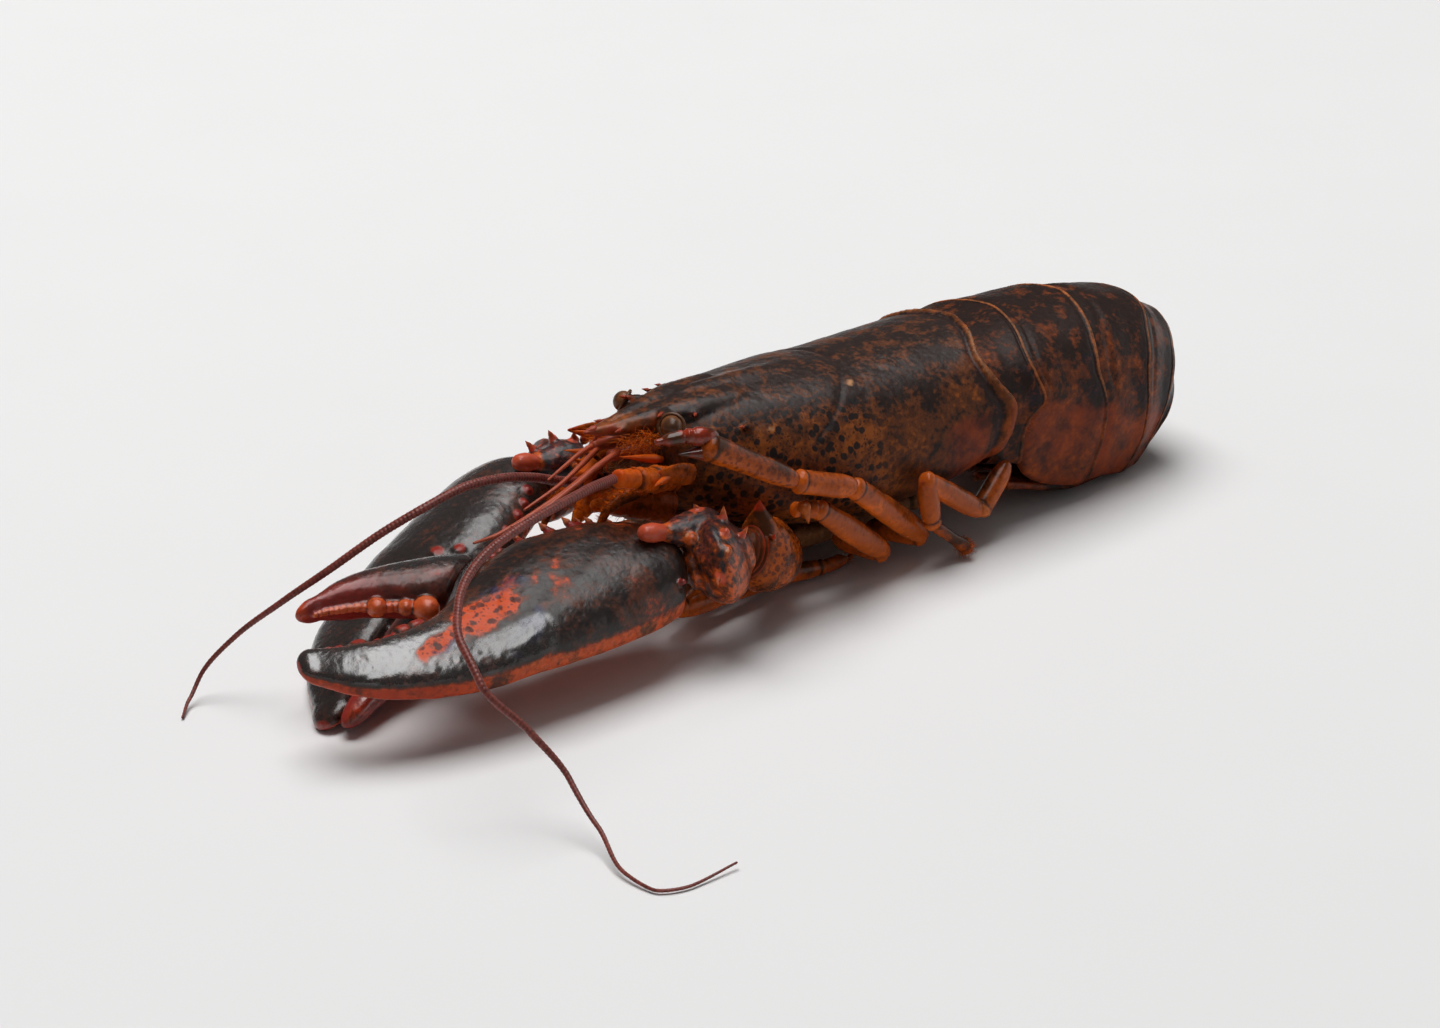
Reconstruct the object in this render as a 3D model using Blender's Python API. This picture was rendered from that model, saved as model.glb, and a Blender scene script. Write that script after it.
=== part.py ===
# Raw American lobster lying on its belly, tail tucked under, claws crossed in front.
# Lengths are in millimetres: +X runs to the tail, -Y is the animal's left, +Z is up.

import math

import bmesh
import bpy
from mathutils import Matrix, Vector

MM = 0.001

# Body
CARAPACE_REAR_TOP = 46.4
CARAPACE_HALF_WIDTH = 24.2
ROSTRUM_TIP = (-106.5, 0.0, 45.4)
RIM_PROUD = 0.7
RING_START = 1.9
RING_GAP = 0.24
CORE_GAP = 0.9
SHELL_CORE_X = -2.4
NODE_GAP = 0.36
CORE_HALF_WIDTH = 9.0
CORE_TOP = 8.6
EYE_RADIUS = 2.6
EYE_CENTRE = (-88.9, -8.8, 45.2)

# Left claw, the crusher: wrist, tip and roll of its broad face
LEFT_WRIST = (-103.0, -28.0, 18.6)
LEFT_TIP = (-186.0, -12.0, 20.6)
LEFT_ROLL = 10.0

# Right claw, the cutter
RIGHT_WRIST = (-103.5, 33.0, 20.5)
RIGHT_TIP = (-176.4, -9.2, 3.4)
RIGHT_ROLL = 6.0

# Counts around and along
RING_BODY = 26
RING_TAIL = 24
RING_CLAW = 16
RING_LIMB = 6

SKIN_COLOURS = {
    "shell": (0.10, 0.035, 0.018, 1.0),
    "tail": (0.12, 0.035, 0.018, 1.0),
    "claw": (0.07, 0.030, 0.022, 1.0),
    "limb": (0.33, 0.090, 0.025, 1.0),
    "feeler": (0.22, 0.025, 0.018, 1.0),
    "belly": (0.30, 0.12, 0.05, 1.0),
    "eye": (0.05, 0.02, 0.012, 1.0),
}


# Small maths

def lerp(a, b, t):
    return a + (b - a) * t


def clamp(value, low, high):
    return max(low, min(high, value))


def smooth(t):
    t = clamp(t, 0.0, 1.0)
    return t * t * (3.0 - 2.0 * t)


def hump(x, centre, width):
    return math.exp(-((x - centre) / width) ** 2)


def power(value, exponent):
    return math.copysign(abs(value) ** exponent, value)


def curve(stations):
    """A smooth curve without overshoot through (position, value, value, ...) rows."""
    xs = [float(row[0]) for row in stations]
    width = len(stations[0]) - 1
    last = len(xs) - 1
    slopes = []
    for k in range(width):
        ys = [float(row[k + 1]) for row in stations]
        secants = [(ys[i + 1] - ys[i]) / (xs[i + 1] - xs[i]) for i in range(last)]
        column = [secants[0]]
        for i in range(1, last):
            before, after = secants[i - 1], secants[i]
            flat = before * after <= 0.0
            column.append(0.0 if flat else 2.0 * before * after / (before + after))
        column.append(secants[-1])
        slopes.append(column)

    def value(x):
        x = clamp(x, xs[0], xs[-1])
        i = 0
        while i < last - 1 and x > xs[i + 1]:
            i += 1
        span = xs[i + 1] - xs[i]
        t = (x - xs[i]) / span
        h00 = (1.0 + 2.0 * t) * (1.0 - t) ** 2
        h10 = t * (1.0 - t) ** 2
        h01 = t * t * (3.0 - 2.0 * t)
        h11 = t * t * (t - 1.0)
        out = []
        for k in range(width):
            y0 = float(stations[i][k + 1])
            y1 = float(stations[i + 1][k + 1])
            m0 = slopes[k][i] * span
            m1 = slopes[k][i + 1] * span
            out.append(h00 * y0 + h10 * m0 + h01 * y1 + h11 * m1)
        return out[0] if width == 1 else out

    return value


def spline_points(knots, steps):
    """Points on a curve through the knots, evenly spaced by knot length."""
    lengths = [0.0]
    for a, b in zip(knots, knots[1:]):
        lengths.append(lengths[-1] + (Vector(b[:3]) - Vector(a[:3])).length)
    shape = curve([(s,) + tuple(k) for s, k in zip(lengths, knots)])
    return [shape(lengths[-1] * i / steps) for i in range(steps + 1)]


# Meshes

def mesh_object(name, verts, faces, smooth_shade=True):
    mesh = bpy.data.meshes.new(name)
    mesh.from_pydata([(x * MM, y * MM, z * MM) for x, y, z in verts], [], faces)
    work = bmesh.new()
    work.from_mesh(mesh)
    bmesh.ops.recalc_face_normals(work, faces=work.faces[:])
    if work.calc_volume(signed=True) < 0.0:
        bmesh.ops.reverse_faces(work, faces=work.faces[:])
    work.to_mesh(mesh)
    work.free()
    for polygon in mesh.polygons:
        polygon.use_smooth = smooth_shade
    obj = bpy.data.objects.new(name, mesh)
    bpy.context.scene.collection.objects.link(obj)
    return obj


def loft(name, rings, tip_start=None, tip_end=None):
    """Closed skin over rings of equal count, each end drawn to one point."""
    count = len(rings[0])
    verts = [tuple(p) for ring in rings for p in ring]
    faces = []
    for i in range(len(rings) - 1):
        for k in range(count):
            a = i * count + k
            b = i * count + (k + 1) % count
            faces.append((a, b, b + count, a + count))
    for end, tip in ((0, tip_start), (len(rings) - 1, tip_end)):
        base = end * count
        if tip is None:
            tip = sum((Vector(p) for p in rings[end]), Vector()) / count
        verts.append(tuple(tip))
        pole = len(verts) - 1
        for k in range(count):
            faces.append((base + k, base + (k + 1) % count, pole))
    return mesh_object(name, verts, faces)


def frame_at(points, i, up):
    a = Vector(points[max(i - 1, 0)][:3])
    b = Vector(points[min(i + 1, len(points) - 1)][:3])
    along = (b - a).normalized()
    side = up.cross(along)
    if side.length < 1e-6:
        side = Vector((0.0, 1.0, 0.0)).cross(along)
    side.normalize()
    return along, side, along.cross(side).normalized()


def tube(name, points, ring, up=(0.0, 0.0, 1.0), caps=(0.9, 0.9), axis=None):
    """Tube over points (x, y, z, half width, half height) with domed ends.

    With an axis, every ring stands square to it, so a short bend doesn't fold."""
    up = Vector(up)
    rings = []
    for i, point in enumerate(points):
        centre = Vector(point[:3])
        along, side, top = frame_at(points, i, up)
        if axis is not None:
            side = up.cross(axis).normalized()
            top = axis.cross(side).normalized()
        rings.append([centre + side * math.cos(2 * math.pi * k / ring) * point[3]
                      + top * math.sin(2 * math.pi * k / ring) * point[4]
                      for k in range(ring)])
    first = frame_at(points, 0, up)[0]
    final = frame_at(points, len(points) - 1, up)[0]
    start = Vector(points[0][:3]) - first * min(points[0][3:5]) * caps[0]
    end = Vector(points[-1][:3]) + final * min(points[-1][3:5]) * caps[1]
    return loft(name, rings, start, end)


def bar(name, a, b, r0, rm, r1, ring=RING_LIMB, flat=1.0, up=(0.0, 0.0, 1.0)):
    """One limb joint: round ended, thicker in the middle, optionally flattened."""
    a, b = Vector(a), Vector(b)
    rows = ((0.0, 0.8 * r0), (0.14, r0), (0.5, rm), (0.88, r1), (1.0, 0.8 * r1))
    points = []
    for t, r in rows:
        p = a.lerp(b, t)
        points.append((p.x, p.y, p.z, r, r * flat))
    return tube(name, points, ring, up, (0.6, 0.6))


def cone(name, base, tip, radius, ring=5):
    """A spine, swelling at its foot."""
    base, tip = Vector(base), Vector(tip)
    points = []
    for t, r in ((-0.25, 0.8), (0.0, 1.0), (0.55, 0.52)):
        p = base.lerp(tip, t)
        points.append((p.x, p.y, p.z, r * radius, r * radius))
    along = (tip - base).normalized()
    up = Vector((0.0, 1.0, 0.0)) if abs(along.z) > 0.8 else Vector((0.0, 0.0, 1.0))
    rings = []
    for i, point in enumerate(points):
        _, side, top = frame_at(points, i, up)
        centre = Vector(point[:3])
        rings.append([centre + side * math.cos(2 * math.pi * k / ring) * point[3]
                      + top * math.sin(2 * math.pi * k / ring) * point[4]
                      for k in range(ring)])
    return loft(name, rings, Vector(points[0][:3]) - along * radius * 0.3, tip)


def ball(name, centre, radius, ring=8, rows=5, stretch=(1.0, 1.0, 1.0)):
    rings = []
    for i in range(1, rows):
        lat = math.pi * i / rows - math.pi / 2
        rings.append([(centre[0] + radius * stretch[0] * math.cos(lat) * math.cos(2 * math.pi * k / ring),
                       centre[1] + radius * stretch[1] * math.cos(lat) * math.sin(2 * math.pi * k / ring),
                       centre[2] + radius * stretch[2] * math.sin(lat)) for k in range(ring)])
    low = (centre[0], centre[1], centre[2] - radius * stretch[2])
    high = (centre[0], centre[1], centre[2] + radius * stretch[2])
    return loft(name, rings, low, high)


def boolean(target, operation, tools, solver="EXACT"):
    """Join or cut once with every tool, then drop the tools."""
    group = bpy.data.collections.new(target.name + "_tools")
    bpy.context.scene.collection.children.link(group)
    for tool in tools:
        bpy.context.scene.collection.objects.unlink(tool)
        group.objects.link(tool)
    step = target.modifiers.new("join", "BOOLEAN")
    step.operation = operation
    step.operand_type = "COLLECTION"
    step.collection = group
    step.solver = solver
    graph = bpy.context.evaluated_depsgraph_get()
    fresh = bpy.data.meshes.new_from_object(target.evaluated_get(graph))
    target.modifiers.remove(step)
    target.data = fresh
    for tool in tools:
        bpy.data.objects.remove(tool)
    bpy.data.collections.remove(group)
    settle(target)
    return target


def settle(obj):
    """Weld hair-thin slivers and keep the largest closed body."""
    work = bmesh.new()
    work.from_mesh(obj.data)
    bmesh.ops.remove_doubles(work, verts=work.verts[:], dist=0.000005)
    bmesh.ops.dissolve_degenerate(work, edges=work.edges[:], dist=0.000005)
    work.verts.index_update()
    islands = []
    seen = set()
    for seed in work.verts:
        if seed.index in seen:
            continue
        stack = [seed]
        seen.add(seed.index)
        island = []
        while stack:
            vert = stack.pop()
            island.append(vert)
            for edge in vert.link_edges:
                other = edge.other_vert(vert)
                if other.index not in seen:
                    seen.add(other.index)
                    stack.append(other)
        islands.append(island)
    islands.sort(key=len)
    for island in islands[:-1]:
        bmesh.ops.delete(work, geom=island, context="VERTS")
    bmesh.ops.triangulate(work, faces=work.faces[:])
    work.to_mesh(obj.data)
    work.free()
    for polygon in obj.data.polygons:
        polygon.use_smooth = True


def fuse(name, parts, solver="EXACT"):
    target = parts[0]
    target.name = name
    return boolean(target, "UNION", parts[1:], solver)


def carve(obj, neighbours, gap):
    """Cut the neighbours, grown by the gap, out of a node."""
    tools = []
    for other in neighbours:
        tool = bpy.data.objects.new("grown", other.data.copy())
        bpy.context.scene.collection.objects.link(tool)
        normals = [vert.normal.copy() for vert in tool.data.vertices]
        for vert, normal in zip(tool.data.vertices, normals):
            vert.co += normal * gap * MM
        tools.append(tool)
    return boolean(obj, "DIFFERENCE", tools, "MANIFOLD")


def paint(obj, kind, roughness):
    material = bpy.data.materials.new(obj.name + "_skin")
    material.use_nodes = True
    shader = material.node_tree.nodes["Principled BSDF"]
    shader.inputs["Base Color"].default_value = SKIN_COLOURS[kind]
    shader.inputs["Roughness"].default_value = roughness
    shader.inputs["Metallic"].default_value = 0.0
    obj.data.materials.clear()
    obj.data.materials.append(material)
    return obj


# Carapace

CARAPACE_SHAPE = curve((
    (-87.0, 9.0, 44.5, 33.0, 24.0),
    (-82.0, 13.2, 46.6, 33.0, 21.0),
    (-74.0, 17.0, 47.6, 31.0, 17.5),
    (-62.0, 20.8, 47.4, 29.0, 13.5),
    (-48.0, 23.2, 47.2, 27.5, 11.2),
    (-36.0, 24.0, 46.2, 26.8, 10.2),
    (-18.0, CARAPACE_HALF_WIDTH, 46.4, 26.4, 11.6),
    (0.0, CARAPACE_HALF_WIDTH, CARAPACE_REAR_TOP, 28.0, 16.6),
))


def section(half_width, top, mid, bottom, angle, arch=0.86, keel=0.0):
    """A point (y, z) of a body section; angle 0 is the right side, 90 deg the top."""
    c, s = math.cos(angle), math.sin(angle)
    if s >= 0.0:
        y = half_width * power(c, arch)
        z = mid + (top - mid) * power(s, 0.94) + keel * hump(y, 0.0, 3.0)
    else:
        y = half_width * power(c, 0.62) * (1.0 - 0.10 * s * s)
        z = mid + (mid - bottom) * power(s, 0.75)
    return y, z


def groove_x(z, y):
    """Where the cervical groove crosses the shell at a height."""
    drop = clamp((46.0 - z) / 26.0, 0.0, 1.0)
    return -36.0 + 1.5 * math.sin(drop * math.pi * 0.5) - 22.0 * max(drop - 0.42, 0.0) ** 1.3


def carapace_point(x, angle):
    half_width, top, mid, bottom = CARAPACE_SHAPE(x)
    keel = 1.3 * smooth((-x - 40.0) / 25.0)
    y, z = section(half_width, top, mid, bottom, angle, keel=keel)
    sink = 0.9 * hump(x, groove_x(z, y), 1.7) * smooth((z - 17.0) / 8.0)
    scale = 1.0 - sink / max(half_width, 1.0)
    centre = 0.5 * (top + bottom)
    return y * scale, centre + (z - centre) * scale


def turn_of(angle):
    """Degrees round from the top of a section, the same on both sides."""
    return math.degrees(math.acos(clamp(math.sin(angle), -1.0, 1.0)))


# Rear edge of the shell: place round, x
REAR_EDGE = curve((
    (0.0, 1.6), (16.0, -0.8), (40.0, -4.7), (56.0, -3.4), (80.0, 0.4), (92.0, -0.7),
    (106.0, -2.0), (125.0, -1.6), (145.0, -3.4), (180.0, -5.4),
))


def carapace_rear(angle):
    """The rear edge: notched on the back, lapping back on the flanks."""
    return REAR_EDGE(turn_of(angle))


def carapace_body(ring, steps):
    front = -87.0
    rings = []
    for i in range(steps + 1):
        u = i / steps
        row = []
        for k in range(ring):
            angle = 2.0 * math.pi * (k + 0.5) / ring
            rear = carapace_rear(angle)
            x = lerp(front, rear, u)
            y, z = carapace_point(x, angle)
            edge = RIM_PROUD * smooth((u - 0.955) / 0.03) * smooth((math.sin(angle) + 0.9) / 0.3)
            grow = 1.0 + edge / 24.0
            row.append((x, y * grow, 26.0 + (z - 26.0) * grow))
        rings.append(row)
    tip = (front - 1.2, 0.0, 34.0)
    back = (SHELL_CORE_X, 0.0, 26.0)
    return loft("carapace", rings, tip, back)


def rostrum_body(ring, steps):
    shape = curve((
        (-107.0, 0.35, 45.6, 45.0),
        (-103.0, 1.3, 46.0, 43.9),
        (-97.0, 2.9, 46.8, 42.4),
        (-89.0, 5.4, 47.9, 41.4),
        (-80.0, 8.2, 48.8, 40.4),
        (-68.0, 9.0, 48.4, 40.0),
    ))
    rings = []
    for i in range(steps + 1):
        x = lerp(-106.2, -68.0, i / steps)
        half_width, top, bottom = shape(x)
        row = []
        for k in range(ring):
            angle = 2.0 * math.pi * k / ring
            c, s = math.cos(angle), math.sin(angle)
            mid = lerp(bottom, top, 0.62)
            y = half_width * power(c, 0.8)
            z = mid + ((top - mid) if s > 0 else (mid - bottom)) * s
            row.append((x, y, z))
        rings.append(row)
    return loft("rostrum", rings, ROSTRUM_TIP, (-67.0, 0.0, 44.0))


def rostrum_spines():
    spines = []
    rows = ((-96.6, 3.1, 44.6, 4.2), (-88.0, 6.4, 47.0, 3.6), (-80.5, 8.8, 45.8, 2.8))
    for side in (-1.0, 1.0):
        for x, y, z, length in rows:
            base = (x, side * y * 0.8, z)
            tip = (x - length, side * (y + 0.9), z + 0.7)
            spines.append(cone("spine", base, tip, 1.0))
    for side in (-1.0, 1.0):
        spines.append(cone("spine", (-80.0, side * 12.6, 42.0), (-85.0, side * 14.0, 43.2), 1.3))
    return spines


def build_carapace():
    body = carapace_body(RING_BODY, 23)
    carapace = fuse("carapace", [body, rostrum_body(8, 7)] + rostrum_spines())
    return paint(carapace, "shell", 0.35)


# Thorax below the shell, which carries the limbs

def block(name, stations, rows, ring):
    """Boxy tube along X from (x, half width, top, bottom) rows."""
    shape = curve(stations)
    rings = []
    for i in range(rows + 1):
        x = lerp(stations[0][0], stations[-1][0], i / rows)
        half_width, top, bottom = shape(x)
        row = []
        for k in range(ring):
            angle = 2.0 * math.pi * k / ring
            y = half_width * power(math.cos(angle), 0.5)
            z = 0.5 * (top + bottom) + 0.5 * (top - bottom) * power(math.sin(angle), 0.65)
            row.append((x, y, z))
        rings.append(row)
    return loft(name, rings)


def build_thorax():
    thorax = block("thorax", (
        (-87.0, 3.6, 22.8, 13.0),
        (-78.0, 7.0, 18.0, 6.4),
        (-68.0, CORE_HALF_WIDTH, 14.2, 4.0),
        (-56.0, CORE_HALF_WIDTH, 10.8, 3.2),
        (-44.0, CORE_HALF_WIDTH, CORE_TOP, 3.0),
        (-14.0, CORE_HALF_WIDTH, CORE_TOP, 3.4),
        (-6.0, 7.0, 8.2, 4.2),
    ), 10, 10)
    mouth = block("mouth", (
        (-96.4, 2.6, 34.6, 23.0),
        (-93.0, 4.2, 35.8, 19.6),
        (-88.9, 4.6, 36.0, 17.4),
    ), 3, 10)
    return [paint(thorax, "belly", 0.5), paint(mouth, "belly", 0.5)]


# Tail

# Edges between tail rings: dorsal x, z; ventral x, z; half width; half width below
TAIL = curve((
    (0.0, 3.4, 44.6, 2.6, 17.0, 22.2),
    (1.0, 15.2, 45.6, 6.5, 15.5, 23.0),
    (2.0, 39.5, 43.9, 26.0, 4.4, 22.2),
    (3.0, 57.6, 38.5, 39.0, 1.4, 20.0),
    (4.0, 64.8, 30.8, 45.4, 0.3, 18.0),
    (5.0, 64.6, 20.0, 49.0, 1.8, 16.2),
    (6.0, 58.6, 9.8, 52.6, 4.6, 14.2),
))
# How far each edge between rings runs back (+) or forward (-), in rings, by place round
WAVE = curve((
    (0.0, -0.10, -0.17, -0.10, -0.30, -0.20),
    (20.0, -0.25, -0.25, -0.20, -0.45, -0.20),
    (53.0, -0.48, -0.31, -0.38, -0.50, -0.10),
    (70.0, -0.39, -0.29, -0.38, -0.40, 0.00),
    (85.0, -0.16, -0.17, -0.25, -0.20, 0.10),
    (93.0, 0.00, -0.08, -0.09, 0.10, 0.20),
    (105.0, -0.25, 0.02, 0.20, 0.46, 0.24),
    (117.0, -0.35, 0.07, 0.42, 0.60, 0.26),
    (135.0, -0.20, 0.06, 0.35, 0.56, 0.20),
    (180.0, 0.00, 0.00, 0.10, 0.20, 0.05),
))
# Side plate of a tail ring: place round, share of the width, share of the height
FLANK = curve((
    (0.0, 1.0, 1.0),
    (0.25, 0.985, 0.52),
    (0.5, 0.93, 0.06),
    (0.6, 0.86, 0.0),
    (0.75, 0.76, 0.30),
    (1.0, 0.0, 0.40),
))
TAIL_NAMES = ("tail_1", "tail_2", "tail_3", "tail_4", "tail_5", "tail_6")


def tail_point(s, angle, proud=0.0):
    dx, dz, vx, vz, half_width = TAIL(s)
    up = Vector((dx - vx, 0.0, dz - vz))
    height = up.length
    up.normalize()
    mid = 0.52 * height
    c, q = math.cos(angle), math.sin(angle)
    if q >= 0.0:
        y = (half_width + proud) * power(c, 0.88)
        h = mid + (height + proud - mid) * power(q, 0.95)
    else:
        way = math.asin(clamp(-q, 0.0, 1.0)) / (math.pi / 2.0)
        across, rise = FLANK(way)
        y = math.copysign((half_width + proud) * across, c)
        h = mid * rise
    return Vector((vx + up.x * h, y, vz + up.z * h))


def edge_place(number, angle):
    """Place along the tail of the edge in front of a ring."""
    if number == 0 or number == 6:
        return float(number)
    return number + WAVE(turn_of(angle))[number - 1]


def tail_surface(number, u, angle, proud):
    """Point of a ring from its front edge (u = 0) to its rear edge (u = 1)."""
    start = edge_place(number, angle)
    end = edge_place(number + 1, angle)
    p = tail_point(lerp(start, end, u), angle, proud)
    if number == 0:
        front = tail_point(0.0, angle, proud)
        front.x = carapace_rear(angle) + RING_START + 3.4 * smooth((turn_of(angle) - 92.0) / 26.0)
        rear = tail_point(end, angle, proud)
        p = front.lerp(rear, u)
    return p


def tail_core(s):
    """Middle of the section in front of a ring."""
    dx, dz, vx, vz, _ = TAIL(float(s))
    return Vector((0.5 * (dx + vx), 0.0, 0.5 * (dz + vz)))


def tail_run(s):
    """Direction of the tail at that section."""
    return (tail_core(min(s + 0.2, 6.0)) - tail_core(max(s - 0.2, 0.0))).normalized()


def tail_ring(number, ring, rows):
    """One tail ring; its rear edge stands proud and covers the next."""
    rings = []
    for i in range(rows + 1):
        u = i / rows
        proud = RIM_PROUD * (smooth((u - 0.55) / 0.4) - 0.5 * (1.0 - smooth(u / 0.2)))
        row = []
        for k in range(ring):
            angle = 2.0 * math.pi * (k + 0.5) / ring
            p = tail_surface(number, u, angle, proud)
            if i in (0, rows):
                inward = tail_surface(number, 0.5, angle, proud) - p
                gap = RING_GAP * (1.0 + 2.4 * smooth((turn_of(angle) - 100.0) / 30.0))
                p = p + inward.normalized() * gap
            row.append(p)
        rings.append(row)
    front = tail_core(number) + tail_run(number) * CORE_GAP
    if number == 0:
        front = Vector((SHELL_CORE_X + RING_START + CORE_GAP, 0.0, 26.0))
    rear = tail_core(number + 1) - tail_run(number + 1) * CORE_GAP
    return loft(TAIL_NAMES[number], rings, front, rear)


def fan_height(x):
    """Underside of the folded tail fan: flat near the rear, rising forward."""
    return 0.2 + 9.0 * smooth((31.0 - x) / 40.0) + 2.2 * smooth((x - 46.0) / 12.0)


def fan_blade(name, near, far, thick, reach):
    """A blade of the fan between two edge lines (y at the hinge, y at the tip)."""
    hinge = 57.0
    rings = []
    rows = 7
    for i in range(rows + 1):
        u = i / rows
        x = lerp(hinge, reach, u)
        swell = math.sin(math.pi * clamp(0.16 + 0.78 * u, 0.0, 1.0)) ** 0.45
        y0 = lerp(near[0], near[1], u ** 0.6)
        y1 = lerp(far[0], far[1], u ** 0.7)
        mid, half = 0.5 * (y0 + y1), 0.5 * abs(y1 - y0) * swell
        half_thick = 0.5 * thick * (0.6 + 0.4 * math.sin(math.pi * clamp(0.2 + 0.7 * u, 0.0, 1.0)))
        row = []
        for k in range(8):
            angle = 2.0 * math.pi * k / 8
            y = mid + half * power(math.cos(angle), 0.7)
            z = fan_height(x) + 0.5 * thick + half_thick * power(math.sin(angle), 0.8)
            row.append((x, y, z))
        rings.append(row)
    return paint(loft(name, rings), "tail", 0.4)


def build_tail():
    made = []
    for number in range(6):
        made.append(paint(tail_ring(number, RING_TAIL, 4), "tail", 0.35))
    made.append(fan_blade("telson", (-4.6, -7.0), (4.6, 7.0), 2.2, 3.0))
    for side, word in ((-1.0, "left"), (1.0, "right")):
        made.append(fan_blade("uropod_inner_" + word, (side * 5.1, side * 7.7),
                              (side * 8.4, side * 13.2), 2.0, 1.0))
        made.append(fan_blade("uropod_outer_" + word, (side * 9.1, side * 13.8),
                              (side * 12.0, side * 17.8), 2.0, 3.5))
    return made


# Claws

# Rows are: place along, side edge (a, b), inner edge (a, b), half thickness up, down
CRUSHER_PALM = (
    (0.00, -3.4, 0.0, -3.8, 8.5, 4.8, 4.4),
    (0.05, 0.0, -5.0, -2.0, 14.5, 7.4, 5.6),
    (0.13, 8.0, -8.4, 4.0, 19.6, 8.6, 6.0),
    (0.25, 19.0, -11.2, 14.0, 21.8, 9.2, 6.0),
    (0.38, 31.0, -13.8, 27.0, 21.2, 8.6, 5.6),
    (0.48, 40.0, -15.4, 36.6, 17.0, 7.6, 5.2),
    (0.58, 50.0, -16.4, 48.4, 7.2, 6.4, 4.8),
    (0.67, 58.0, -16.6, 57.0, 1.2, 5.6, 4.4),
    (0.79, 69.0, -15.0, 69.0, -1.8, 4.8, 3.8),
    (0.90, 78.0, -11.6, 77.5, -1.2, 3.8, 3.2),
    (0.97, 84.2, -7.0, 83.0, 0.6, 2.8, 2.5),
)
CRUSHER_PALM_TIP = (87.2, -2.2, 0.6)
CRUSHER_FINGER = (
    (0.00, 38.6, 18.4, 48.4, 9.4, 4.4, 4.4),
    (0.06, 40.8, 20.0, 50.2, 8.4, 5.6, 5.4),
    (0.18, 46.6, 20.8, 53.4, 8.8, 6.0, 5.6),
    (0.34, 53.6, 21.4, 58.0, 10.4, 5.6, 5.2),
    (0.55, 62.0, 21.6, 64.8, 12.6, 4.9, 4.6),
    (0.75, 70.2, 20.0, 70.6, 13.4, 4.1, 3.9),
    (0.90, 76.6, 17.2, 75.4, 13.9, 2.8, 2.6),
)
CRUSHER_FINGER_TIP = (81.4, 13.8, 0.4)
CUTTER_PALM = (
    (0.00, -3.4, -3.0, -3.6, 5.5, 4.6, 4.4),
    (0.05, 0.5, -9.4, -1.5, 9.4, 7.0, 5.8),
    (0.14, 9.0, -13.8, 6.0, 11.2, 8.0, 6.4),
    (0.28, 22.0, -16.2, 19.0, 11.4, 8.0, 6.4),
    (0.40, 32.0, -17.8, 30.0, 10.4, 7.6, 6.2),
    (0.49, 39.0, -19.0, 38.0, 7.4, 7.0, 5.8),
    (0.58, 49.0, -20.4, 47.4, 0.6, 6.2, 5.2),
    (0.68, 58.0, -20.0, 57.0, -2.2, 5.4, 4.6),
    (0.80, 68.0, -17.6, 67.5, -2.2, 4.6, 3.9),
    (0.91, 78.4, -12.8, 76.5, -1.6, 3.6, 3.2),
    (0.97, 86.0, -7.2, 82.5, -0.8, 2.8, 2.5),
)
CUTTER_PALM_TIP = (91.0, -1.2, 0.0)
CUTTER_FINGER = (
    (0.00, 39.6, 9.6, 47.6, 2.0, 4.2, 4.2),
    (0.06, 41.6, 11.4, 49.4, 1.0, 5.2, 5.2),
    (0.20, 47.4, 12.4, 53.6, -0.4, 5.6, 5.2),
    (0.40, 56.0, 12.2, 60.0, -0.9, 5.0, 4.8),
    (0.62, 65.6, 11.0, 67.0, -0.9, 4.3, 4.0),
    (0.82, 75.8, 8.8, 75.0, -0.3, 3.5, 3.0),
    (0.94, 83.6, 6.4, 81.6, 0.6, 2.6, 2.2),
)
CUTTER_FINGER_TIP = (90.6, 3.2, -0.6)


class Frame:
    """A claw's own directions: along, inward, and up from its broad face."""

    def __init__(self, wrist, tip, roll, inward):
        self.wrist = Vector(wrist)
        self.along = (Vector(tip) - self.wrist).normalized()
        flat = Vector((0.0, 0.0, 1.0)).cross(self.along).normalized()
        if flat.y * inward < 0.0:
            flat.negate()
        up = self.along.cross(flat).normalized()
        if up.z < 0.0:
            up.negate()
        angle = math.radians(roll)
        self.inner = flat * math.cos(angle) + up * math.sin(angle)
        self.up = self.along.cross(self.inner).normalized()
        if self.up.z < 0.0:
            self.up.negate()

    def at(self, a, b, c):
        return self.wrist + self.along * a + self.inner * b + self.up * c


LEFT = Frame(LEFT_WRIST, LEFT_TIP, LEFT_ROLL, 1.0)
RIGHT = Frame(RIGHT_WRIST, RIGHT_TIP, RIGHT_ROLL, -1.0)


def claw_skin(name, frame, rows, tip, ring, steps, edge_drop, base_lift=0.0):
    """Loft of claw sections; the outer edge hangs a little and is the sharper one."""
    shape = curve(rows)
    rings = []
    for i in range(steps + 1):
        a0, b0, a1, b1, high, low = shape(rows[-1][0] * i / steps)
        row = []
        for k in range(ring):
            angle = 2.0 * math.pi * k / ring
            c, s = math.cos(angle), math.sin(angle)
            t = 0.5 + 0.5 * power(c, 0.8)
            ridge = 1.0 + 0.10 * math.sin(math.pi * t)
            level = -edge_drop * (1.0 - t) ** 1.5 * high / 9.0 + base_lift
            h = high * power(s, 0.85) if s >= 0.0 else low * power(s, 0.85)
            row.append(frame.at(lerp(a0, a1, t), lerp(b0, b1, t), level + h * ridge))
        rings.append(row)
    last = frame.at(tip[0], tip[1], tip[2] + base_lift)
    return loft(name, rings, None, last)


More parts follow.
